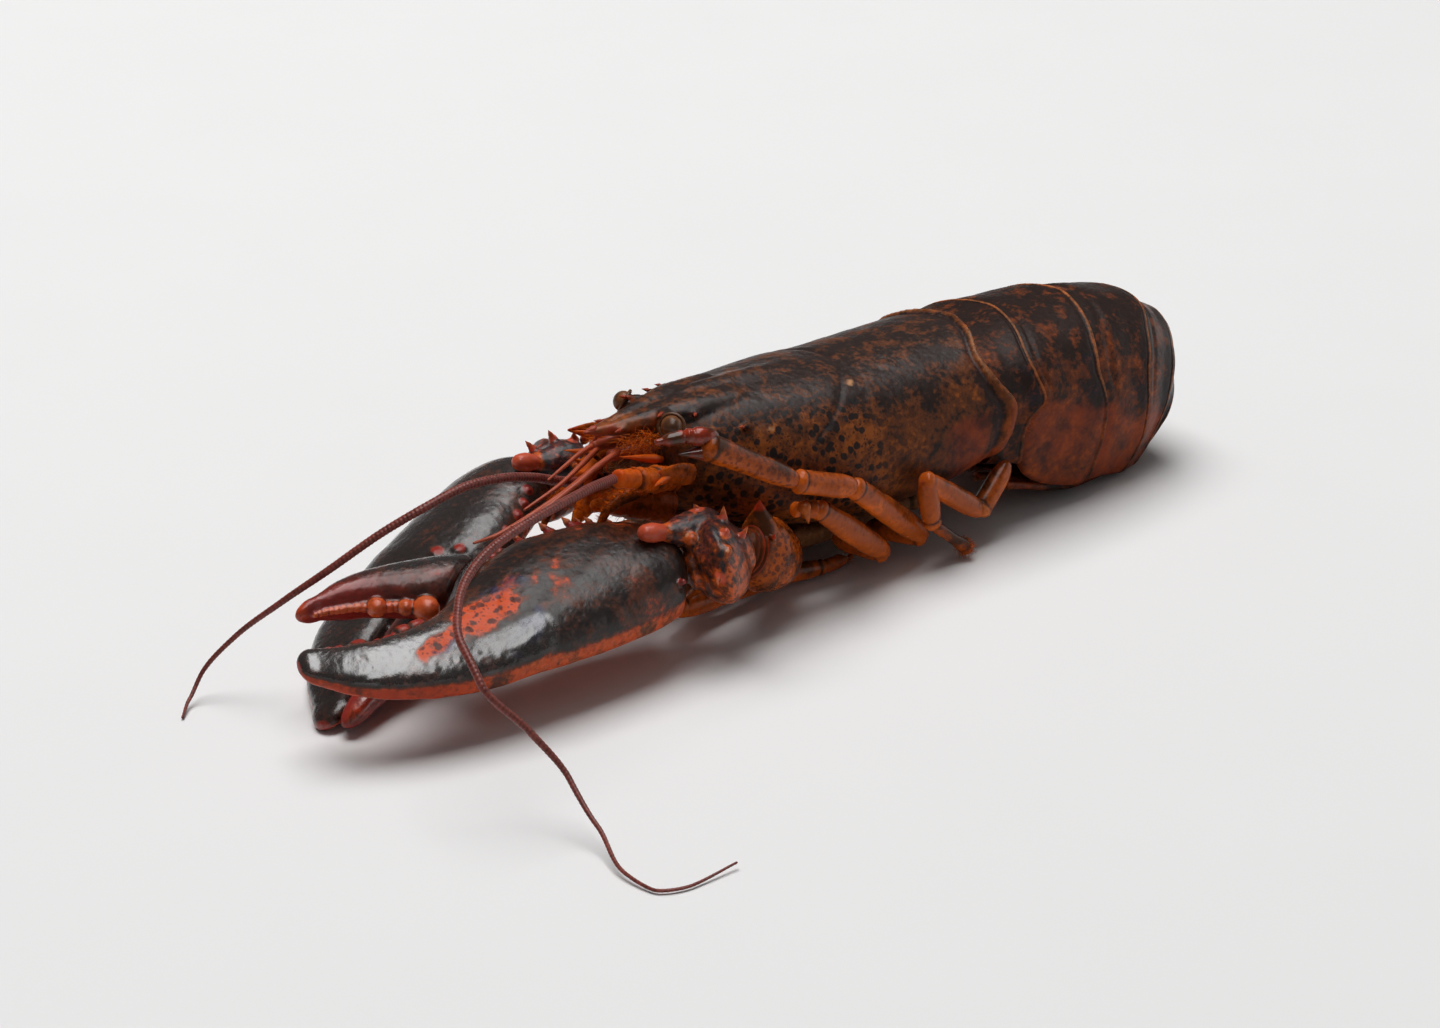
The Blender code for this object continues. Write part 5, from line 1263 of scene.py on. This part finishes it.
def right_claw():
    knobs = [(RIGHT.at(a, b, c), size) for a, b, c, size in CUTTER_KNOBS]
    knobs += [(np.array(place), 1.5, 22, 14, (1.4, 0.9, 0.6)) for place in CUTTER_FLAT_KNOBS]
    teeth = [(RIGHT.at(a, b + 0.2, 0.6), 0.8 + 0.45 * (k % 4 == 1) - 0.015 * k)
             for a, b, k in edge_teeth(CUTTER_PALM[5:], 22, 50.0, 1.65)]
    body = merged([claw_skin(RIGHT, CUTTER_PALM, CUTTER_PALM_TIP, 110, 220, CUTTER_DROP)]
                  + [ball(*row) for row in knobs + teeth])
    skin = roughened(melted(body, 0.47, 2), (0.08, 3.4, 61), (0.03, 1.3, 62))
    skin.points[:, 2] = np.maximum(skin.points[:, 2], 0.0)
    a, _, t, side = claw_place(skin.points, RIGHT, CUTTER_PALM, CUTTER_DROP)
    wave = noise(skin.points, 6.0, 63)
    heel = fall(a, 24.0, 16.0)
    lower = smooth((np.where(t < 0.5, 0.12, -0.05) - side + 0.04 * wave) / 0.2 + 0.5)
    rim = fall(t, 0.06, 0.04) * rise(a, 50.0, 20.0) * fall(side, 0.8, 0.2)
    rim = np.maximum(rim, rise(a + 0.5 * wave, 89.6, 1.2))
    bumps = rise(np.maximum(near(skin.points, [row[0] for row in knobs], 1.9),
                            near(skin.points, [row[0] for row in teeth], 1.2)), 0.3, 0.4)
    orange = lerp(0.10 + 0.16 * heel + 0.06 * wave + 0.10 * rise(t, 0.7, 0.2), 0.72 + 0.2 * wave, lower)
    orange = np.maximum(np.maximum(orange, 0.6 * rim), 0.75 * bumps)
    red = np.maximum(np.maximum(0.45 * lower, 0.75 * rim), 0.85 * bumps)
    skin.paint((orange, red, 0.0), (0.4 * heel + 0.25 * lower, 0.0, 0.45 * (1.0 - 0.8 * bumps)))
    piece(skin, CLAW, "claw_right")
    teeth = [(a, b - 0.1, 0.75 + 0.4 * (k % 4 == 2) - 0.012 * k)
             for a, b, k in edge_teeth(CUTTER_FINGER, 20, 52.0, 1.6)]
    finger("right", RIGHT, CUTTER_FINGER, CUTTER_FINGER_TIP, 0.8, teeth)


def wrist(word, frame_, b, c, knob, bulge, spikes, dots):
    """The knobbly joint that carries the claw; b is its middle, c its elbow."""
    a = frame_.wrist - frame_.along * 6.0 + frame_.inner * 4.0
    knots = [(*a, 6.0, 5.4), (*lerp(a, b, 0.45), 9.2, 8.4), (*b, 10.0, 9.6),
             (*lerp(b, c, 0.6), 8.0, 8.6), (*c, 4.4, 5.2)]
    horn = [(*lerp(b, bulge, 0.3), 7.4), (*bulge, 5.6), (*lerp(bulge, knob, 0.55), 3.3),
            (*lerp(bulge, knob, 0.8), 1.9), (*knob, 2.25), (*lerp(bulge, knob, 1.16), 1.9)]
    parts = [tube(spline_points(knots, 40), 72, caps=(0.35, 0.5), axis=c - a),
             tube(spline_points(horn, 40), 44, caps=(0.4, 0.8))]
    skin = melted(merged(parts + [cone(*row) for row in spikes] + [ball(*row) for row in dots]), 0.4, 3)
    ends = [np.array(row[1]) for row in spikes]
    buds = [np.array(row[0]) for row in dots]
    x = (skin.points - b) @ unit(frame_.wrist - b)
    collar = rise(x, 3.4, 1.6) * fall(skin.points[:, 2], b[2] + 6.0, 3.0)
    height = 0.10 * noise(skin.points, 2.4, 71) + 0.05 * noise(skin.points, 1.1, 72)
    height += collar * (0.28 * np.sin(2.0 * np.pi * x / COLLAR_PITCH) - 0.4)
    knob_gap = np.linalg.norm(skin.points - lerp(bulge, knob, 1.05), axis=1)
    calm = rise(near(skin.points, ends + buds, 3.0), 0.2, 0.4)
    skin = raised(skin, height * (1.0 - np.maximum(calm, fall(knob_gap, 6.5, 2.0))))
    wave = noise(skin.points, 4.5, 73)
    dark_top = rise(skin.points[:, 2] + 2.0 * wave, b[2] + 0.5, 5.0)
    fold = collar * (1.0 - calm)
    plain = 1.0 - np.maximum(calm, fall(knob_gap, 6.0, 2.0))
    orange = np.maximum.reduce([0.74 - 0.40 * dark_top + 0.18 * wave, 0.85 * fall(knob_gap, 6.0, 1.6),
                                0.85 * rise(near(skin.points, ends + buds, 2.0), 0.25, 0.4)])
    spike_middles = [lerp(np.array(foot), end, 0.6) for foot, end, _ in spikes]
    red = np.maximum.reduce([0.85 * rise(near(skin.points, spike_middles, 2.2), 0.25, 0.4),
                             0.80 * rise(near(skin.points, buds, 1.7), 0.3, 0.4),
                             0.85 * fall(knob_gap, 4.4, 1.2), 0.10 * fold])
    pale = 0.65 * rise(near(skin.points, [bud + unit(bud - b) * 1.4 for bud in buds], 0.8), 0.4, 0.4)
    skin.paint((lerp(orange, 0.52, fold), red, pale + 0.08 * fold),
               (0.6 * (1.0 - collar) * plain, 0.35 * dark_top * plain, 0.25))
    piece(merged([skin, spine_tips(spikes, 0.55, 0.5, (0.9, 0.55, 0.4))]), WRIST, "carpus_" + word)


def soft_cup(c, back):
    """The folded soft skin between the two joints of an arm."""
    knots = [(*(c + back * 0.6), 3.4, 4.6), (*(c + back * 2.6), 4.0, 5.6), (*(c + back * 5.4), 4.2, 6.2)]
    cup = tube(spline_points(knots, 40), 60, caps=(0.5, 0.5))
    folds = np.sin(2.0 * np.pi * ((cup.points - c) @ back) / CUP_PITCH)
    cup = raised(cup, 0.30 * folds)
    wave = noise(cup.points, 3.0, 76)
    return cup.paint((0.12 + 0.2 * wave, 0.34 + 0.22 * folds, 0.25 * clip01(wave)))


def arm(word, side, frame_, centre, elbow, middle, shoulder, knob, bulge, spikes, dots):
    """Wrist joint and the joint behind it of one claw arm."""
    b, c, d, knob, bulge = (np.array(place) for place in (centre, elbow, middle, knob, bulge))
    wrist(word, frame_, b, c, knob, bulge, spikes, dots)
    back, up = unit(d - c), np.array([0.0, 0.0, 1.0])
    start = c + back * 4.4
    knots = [(*start, 4.6, 6.0), (*lerp(start, d, 0.4), 6.4, 8.6), (*d, 5.4, 7.0), (*shoulder, 3.0, 3.0)]
    hump_foot, foot = lerp(start, d, 0.3), lerp(start, d, 0.34)
    way = unit(up + np.array([0.0, side * 0.9, 0.0]))
    spines = [(hump_foot + up * 5.6, hump_foot + up * 12.8 - back * 0.6, 4.4),
              (foot + way * 4.2, foot + way * 9.4 - back * 2.0, 1.2)]
    parts = [tube(spline_points(knots, 40), 56, caps=(0.45, 0.6))] + [cone(*row) for row in spines]
    skin = roughened(melted(merged(parts), 0.43, 3), (0.08, 2.4, 74))
    wave = noise(skin.points, 5.0, 75)
    front = fall((skin.points - start) @ back, 1.4, 1.6)
    red = 0.80 * rise(near(skin.points, [row[1] for row in spines], 3.2), 0.25, 0.5) + 0.10 * smooth(wave)
    skin.paint((0.44 + 0.30 * wave - 0.2 * front, red, 0.0),
               (0.65 * (1.0 - front) * (1.0 - clip01(red)), 0.0, 0.2))
    tips = spine_tips(spines, 0.7, 0.32, (0.9, 0.8, 0.1))
    piece(merged([skin, soft_cup(c, back), tips]), LIMB, "merus_" + word)


# Walking legs

def joint(a, b, radii):
    """One limb joint: narrow where it enters the last one, flared a little where the next one leaves it."""
    start, middle, end = radii
    length, way = np.linalg.norm(b - a), unit(b - a)
    shape = curve(((0.0, 0.56 * start), (0.05, 0.70 * start), (0.15, 0.84 * start),
                   (0.32, 0.92 * lerp(start, middle, 0.7)), (0.55, 0.92 * middle),
                   (0.80, 0.90 * lerp(middle, end, 0.7)), (0.92, 0.90 * end), (0.965, 0.93 * end),
                   (1.0, 0.80 * end)))
    t = np.linspace(0.0, 1.0, 44)
    made = tube(np.column_stack([lerp(a, b, t[:, None]), 0.86 * shape(t), shape(t)]), 26, caps=(0.6, 0.55))
    t = ((made.points - a) @ way) / length
    seam = hump(t, 1.0 - 1.5 / length, 0.35 / length)
    made = raised(made, 0.03 * noise(made.points, 3.2, 81) - 0.16 * seam)
    height = (made.points - a - np.outer(t * length, way))[:, 2]
    top = smooth(0.5 + 0.5 * height / middle)
    wave = noise(made.points, 4.0, 82)
    lip = rise(t, 1.0 - 1.3 / length, 0.6 / length)
    root = fall(t, 0.12, 0.1)
    orange = 0.76 + 0.20 * wave - 0.38 * top - 0.10 * hump(t, 0.5, 0.26) + 0.1 * lip - 0.45 * seam
    red = 0.02 + 0.22 * lip * smooth(0.3 + wave) + 0.10 * root
    pale = 0.06 + 0.16 * lip + 0.10 * root * smooth(wave)
    return made.paint((orange, red, pale), (0.30 * (1.0 - lip) * smooth(0.4 + wave), 0.05, 0.32))


def joints(path, radii):
    return [joint(a, b, row) for a, b, row in zip(path, path[1:], radii)]


def brush(centre, way, count, spread, length, seed, tone=(0.7, 0.0, 0.3)):
    """A tuft of bristles round the end of a leg."""
    rng = np.random.default_rng(seed)
    centre, way = np.array(centre, float), unit(np.array(way, float))
    away = rng.normal(0.0, 1.0, (count, 3))
    away = unit(away - np.outer(away @ way, way))
    back = rng.uniform(0.0, 1.0, count)
    roots = centre - np.outer(back * 3.4, way) + away * spread * (0.55 + 0.45 * back)[:, None]
    ways = way * 0.8 + away * rng.uniform(0.25, 0.9, count)[:, None]
    return hairs(roots, ways, rng.uniform(0.5, 1.0, count) * length, 0.06, 0.1, tone)


def tuft(path, *settings):
    """Bristles at the end of a path of joints."""
    return brush(path[-1], path[-1] - path[-2], *settings)


def pincer(seed):
    """The dark pincer at the end of the raised leg."""
    path = np.array(LEG_3_THUMB)
    parts = joints(path, THUMB_RADII) + [cone(*LEG_3_POINT, 20)]
    for shape in parts:
        wave = noise(shape.points, 2.0, 83)
        shape.paint((0.02 + 0.1 * wave, 0.46 + 0.2 * wave, 0.0), (0.3, 0.0, 1.0))
    return parts + [tuft(path, 26, 0.7, 1.2, seed)]


def legs():
    for side, word in SIDES:
        left = side < 0
        seed = 100 if left else 200
        path = mirrored(LEG_2, side)
        parts = joints(path, LEG_2_RADII) + [tuft(path, 60, 0.8, 2.0, seed + 2)]
        piece(merged(parts), LIMB, "leg_2_" + word)

        if left:
            parts = joints(np.array(LEG_3), LEG_3_RADII)
            parts[3].tone[:, 0] -= 0.14
            parts[3].more[:, 0] += 0.25
            parts += pincer(seed + 3)
        else:
            path = mirrored(LEG_3_RIGHT, side)
            parts = joints(path, LEG_3_RIGHT_RADII) + [tuft(path, 60, 0.8, 1.8, seed + 3)]
        piece(merged(parts), LIMB, "leg_3_" + word)

        parts = joints(mirrored(LEG_4, side), LEG_4_RADII)
        if left:
            parts.append(cone(*LEG_4_POINT, 20).paint((0.55, 0.1, 0.35), (0.2, 0.0, 0.2)))
            parts.append(brush(LEG_4_POINT[1], (0.0, -0.2, -1.0), 18, 0.5, 1.1, seed + 4))
        piece(merged(parts), LIMB, "leg_4_" + word)

        path = mirrored(LEG_5, side)
        parts = joints(path, LEG_5_RADII)
        parts[0].tone[:, 2] += 0.22
        parts[2].tone[:, 1:] += near(parts[2].points, [path[2]], 4.0)[:, None] * (0.45, 0.25)
        parts[3].tone[:, 0] -= 0.25
        parts.append(tuft(path, 170, 1.9, 2.2, seed + 5, (0.5, 0.0, 0.25)))
        piece(merged(parts), LIMB, "leg_5_" + word)


# Head

def ringed(knots, steps, pitch, depth, caps=(0.3, 0.9)):
    """A feeler made of short rings, finer toward its tip."""
    ring = 12
    path = spline_points(knots, steps)
    length = np.concatenate([[0.0], np.cumsum(np.linalg.norm(np.diff(path[:, :3], axis=0), axis=1))])
    wave = np.sin(2.0 * np.pi * length / pitch)
    path[:, 3] *= FEELER_SLIM * (1.0 + depth * wave)
    shape = tube(path, ring, caps=caps)
    # Each ring's swell is painted pale all round: a painted highlight on every ring.
    bright = np.repeat(0.5 + 0.5 * wave, ring)
    shape.tone[3 * ring:3 * ring + len(bright), 2] = 0.35 * bright
    return shape


def feelers():
    for word, knots in (("left", ANTENNA_LEFT), ("right", ANTENNA_RIGHT)):
        piece(ringed(knots, 900, 0.95, 0.045), FEELER, "antenna_" + word)
    for (side, word), pair in zip(SIDES, (FEELER_PAIR, FEELER_PAIR_RIGHT)):
        stem = np.array(FEELER_STEM) * (1.0, side, 1.0, 1.0)
        parts = [tube(spline_points(stem, 40), 28, caps=(0.5, 0.6)).paint((0.45, 0.0, 0.1))]
        for knots in pair:
            branch = ringed(knots, 260, 0.7, 0.03)
            branch.tone[:, 0] = 0.72
            parts.append(branch)
        piece(merged(parts), FEELER, "antennule_" + word)


def eye(side, word):
    centre = mirrored(EYE_CENTRE, side)
    look = unit(np.array([-0.55, side * 0.68, 0.42]))
    globe = ball(centre, EYE_RADIUS, 48, 32)
    facing = unit(globe.points - centre) @ look
    globe.paint(((1.0 - 0.6 * rise(facing, 0.5, 0.3)) * rise(facing, -0.4, 0.4), 0.0, 0.0))
    across = unit(np.cross(look, (0.0, 0.0, 1.0)))
    turn = turns(40)[:, None]
    way = np.cos(turn) * across + np.sin(turn) * np.cross(across, look)
    socket = centre + way * (EYE_RADIUS + 0.35) - look * 0.2
    rim = tube(np.column_stack([socket, np.full(40, 0.42)]), 10).paint((0.6, 0.0, 0.0))
    stem = tube(spline_points(((*(centre * (1.0, 0.55, 0.96)), 1.6), (*centre, 1.9)), 12), 20)
    piece(merged([globe, stem.paint((0.5, 0.0, 0.0)), rim]), EYE, "eye_" + word)


def stalk_skin(path, seams):
    """The jointed foot of a long antenna; the path's radii are drawn in at its seams."""
    t = np.linspace(0.0, 1.0, len(path))
    path[:, 3] *= FEELER_SLIM * (1.0 + 0.14 * hump(t, 0.97, 0.03))
    for seam in seams:
        path[:, 3] *= 1.0 - 0.20 * hump(t, seam, 0.025) + 0.10 * hump(t, seam - 0.06, 0.03)
    base = tube(path, 40, caps=(0.5, 0.2))
    wave = noise(base.points, 3.0, 91)
    way = path[-1, :3] - path[0, :3]
    run = clip01((base.points - path[0, :3]) @ way / (way @ way))
    base = roughened(base, (0.10, 1.5, 92))
    dark = sum(hump(run, seam, 0.03) for seam in seams)
    return base.paint((0.48 + 0.35 * run + 0.15 * wave - 0.5 * dark, 0.22 + 0.30 * run + 0.15 * wave, 0.0),
                      (0.4 * (1.0 - run), 0.0, 0.0))


def antenna_base(side, word, stalk, rng):
    path = spline_points(stalk, 60)
    parts = [stalk_skin(path, (0.34, 0.66) if side < 0 else (0.5,))]
    x, y, z, r = stalk[1]
    spines = [((x + 1.0, y + side * r * 0.5, z + 0.6), (x - 5.0, y + side * (r + 2.0), z + 1.6), 1.2)]
    x, y, z, r = stalk[2]
    spines.append(((x, y + side * r * 0.2, z + r * 0.5), (x - 4.4, y + side * r * 0.3, z + r + 1.6), 1.0))
    parts += [cone(*row, 20).paint((0.8, 0.45, 0.05), (0.1, 0.0, 0.2)) for row in spines]
    plate = tube(spline_points(HEAD_PLATE, 40) * (1.0, -side, 1.0, 1.0, 1.0), 28)
    orange, end = 0.46 + 0.3 * noise(plate.points, 2.4, 95), fall(plate.points[:, 0], -95.0, 3.0)
    parts.append(plate.paint((orange, 0.10 + 0.5 * end, 0.0), (0.35, 0.0, 0.0)))
    count = 150
    pick = rng.integers(0, len(path) - 12, count)
    away = unit(rng.normal(0.0, 1.0, (count, 3)))
    roots = path[pick, :3] + away * path[pick, 3:4] * 0.9
    ways = away + np.array([-0.9, 0.0, 0.0])
    parts.append(hairs(roots, ways, rng.uniform(0.8, 2.0, count), 0.06, tone=(0.8, 0.0, 0.3)))
    count = 420
    roots = np.column_stack([rng.uniform(-100.0, -89.5, count), rng.uniform(-7.6, -3.4, count),
                             rng.uniform(39.6, 43.8, count) - (1.6 if side > 0 else 0.0)])
    ways = rng.normal(0.0, 0.6, (count, 3)) + np.array([-0.8, side * 0.3, 0.35])
    lengths = rng.uniform(1.2, 3.2, count)
    parts.append(hairs(mirrored(roots, side), ways, lengths, 0.08, 0.3, (0.85, 0.0, 0.30)))
    piece(merged(parts), LIMB, "antenna_base_" + word)


def jaw_fringe(path, side, rng):
    """Bristles and a row of small teeth along the top of a jaw part."""
    count, last = 260, len(path) - 1
    pick = (rng.uniform(0.05, 1.0, count) * last).astype(int)
    top = np.column_stack([rng.normal(0.0, 0.25, count), rng.normal(side * 0.2, 0.45, count), np.ones(count)])
    top = unit(top)
    roots = path[pick, :3] + top * path[pick, 4:5] * 0.92
    ways = top + np.array([-0.8, 0.0, 0.1])
    parts = [hairs(roots, ways, rng.uniform(0.8, 1.9, count), 0.07, tone=(0.75, 0.1, 0.25))]
    for k in range(11):
        row = path[int((0.06 + 0.085 * k) * last)]
        foot = row[:3] + np.array([0.0, -side * 0.25, 1.0]) * row[4] * 0.85
        end = foot + np.array([-0.8, -side * 0.1, 0.9])
        parts.append(cone(foot, end, 0.45, 12).paint((0.9, 0.35, 0.0)))
    return parts


def jaw_leg(side, word, jaw, rng):
    path = spline_points(jaw, 60)
    t = np.linspace(0.0, 1.0, len(path))
    for seam in (0.3, 0.62, 0.85):
        path[:, 3:5] *= (1.0 - 0.16 * hump(t, seam, 0.025))[:, None]
    limb = roughened(tube(path, 44, caps=(0.3, 0.9)), (0.09, 1.6, 93))
    wave = noise(limb.points, 3.0, 94)
    limb.paint((0.66 + 0.30 * wave, 0.18 + 0.12 * wave, 0.0), (0.25, 0.0, 0.0))
    drop = (0.0, 0.0, 0.0 if side < 0 else -7.0, 0.0, 0.0)
    ridge = spline_points(np.array(JAW_RIDGE) * (1.0, -side, 1.0, 1.0, 1.0) + drop, 60)
    arch = roughened(tube(ridge, 32, caps=(0.5, 0.8)), (0.10, 1.4, 96))
    wave = noise(arch.points, 2.6, 97)
    arch.paint((0.34 + 0.3 * wave, 0.20 + 0.2 * wave, 0.0), (0.4, 0.0, 0.0))
    parts = [limb, arch] + jaw_fringe(path, side, rng) + jaw_fringe(ridge, side, rng)
    piece(merged(parts), LIMB, "jaw_leg_" + word)


def head():
    rng = np.random.default_rng(30)
    for (side, word), stalk, jaw in zip(SIDES, (STALK_LEFT, STALK_RIGHT), (JAW_LEFT, JAW_RIGHT)):
        eye(side, word)
        antenna_base(side, word, stalk, rng)
        spike = cone((-94.0, side * 8.4, 38.7), (-103.4, side * 8.9, 41.9), 1.05, 24)
        piece(spike.paint((0.95, 0.5, 0.0), (0.1, 0.0, 0.3)), LIMB, "scale_" + word)
        jaw_leg(side, word, jaw, rng)


# Stage, light and view

def stage():
    half = 0.5 * FLOOR_SIZE
    mesh = bpy.data.meshes.new("floor")
    mesh.from_pydata([(-half, -half, 0.0), (half, -half, 0.0), (half, half, 0.0), (-half, half, 0.0)],
                     [], [(0, 1, 2, 3)])
    floor = bpy.data.objects.new("floor", mesh)
    bpy.context.scene.collection.objects.link(floor)
    g = Graph("floor_paper")
    colour = g.mix(g.cloud(60.0), rgb(0.812, 0.806, 0.803), rgb(0.832, 0.826, 0.823))
    mesh.materials.append(g.finished(colour, g.step(g.cloud(20.0), 0.3, 0.7, 0.75, 0.85), 0.2))


def aim(obj, place, target):
    obj.location = Vector(place)
    obj.rotation_euler = (Vector(target) - Vector(place)).to_track_quat("-Z", "Y").to_euler()
    bpy.context.scene.collection.objects.link(obj)


def panel(name, place, target, size, watts, glossy=True, diffuse=True):
    lamp = bpy.data.lights.new(name, "AREA")
    lamp.shape = "RECTANGLE"
    lamp.size, lamp.size_y = size
    lamp.energy = watts
    obj = bpy.data.objects.new(name, lamp)
    obj.visible_glossy, obj.visible_diffuse = glossy, diffuse
    aim(obj, place, target)
    return obj


def light_and_view():
    scene = bpy.context.scene
    middle = OFFSET + np.array([-60.0, -10.0, 20.0]) * MM
    right, away, up = (np.array(way) for way in ((0.788, -0.616, 0.0), (0.616, 0.788, 0.0), (0.0, 0.0, 1.0)))
    panel("key", middle - right * 0.36 + away * 0.60 + up * 2.4, middle, (1.8, 1.8), 67.0, glossy=False)
    place = middle + right * 0.50 - away * 0.22 + up * 2.3
    strip = panel("strip", place, middle, (1.5, 3.2), 76.0, diffuse=False)
    strip.rotation_euler = (0.0, 0.0, math.atan2(right[1], right[0]))
    panel("side", middle + right * 2.5 + away * 0.7 + up * 0.6, middle, (3.6, 1.2), 14.0, diffuse=False)
    world = bpy.data.worlds.new("studio")
    world.use_nodes = True
    sky = world.node_tree.nodes["Background"].inputs
    sky["Color"].default_value = rgb(1.0, 1.0, 1.0)
    sky["Strength"].default_value = SKY_STRENGTH
    scene.world = world
    scene.view_settings.view_transform = "Standard"
    lens = bpy.data.cameras.new("view")
    lens.lens = LENS_LENGTH
    lens.sensor_width = SENSOR_WIDTH
    lens.clip_start = 0.01
    camera = bpy.data.objects.new("view", lens)
    place = np.array(VIEW_PLACE) + OFFSET
    aim(camera, place, place + np.array(VIEW_WAY))
    scene.camera = camera


carapace()
underside()
tail()
left_claw()
right_claw()
arm("left", -1.0, LEFT, (-92.6, -30.2, 21.6), (-85.0, -29.6, 22.0), (-70.4, -23.4, 13.4), (-62.0, -16.6, 9.8),
    (-105.2, -23.4, 29.6), (-92.4, -24.6, 26.6), LEFT_SPIKES, LEFT_DOTS)
arm("right", 1.0, RIGHT, (-93.2, 32.4, 18.4), (-85.0, 30.0, 18.6), (-67.0, 25.4, 12.0), (-58.0, 19.0, 9.4),
    (-105.0, 24.6, 29.2), (-93.4, 25.0, 25.8), RIGHT_SPIKES, RIGHT_DOTS)
legs()
feelers()
head()
stage()
light_and_view()
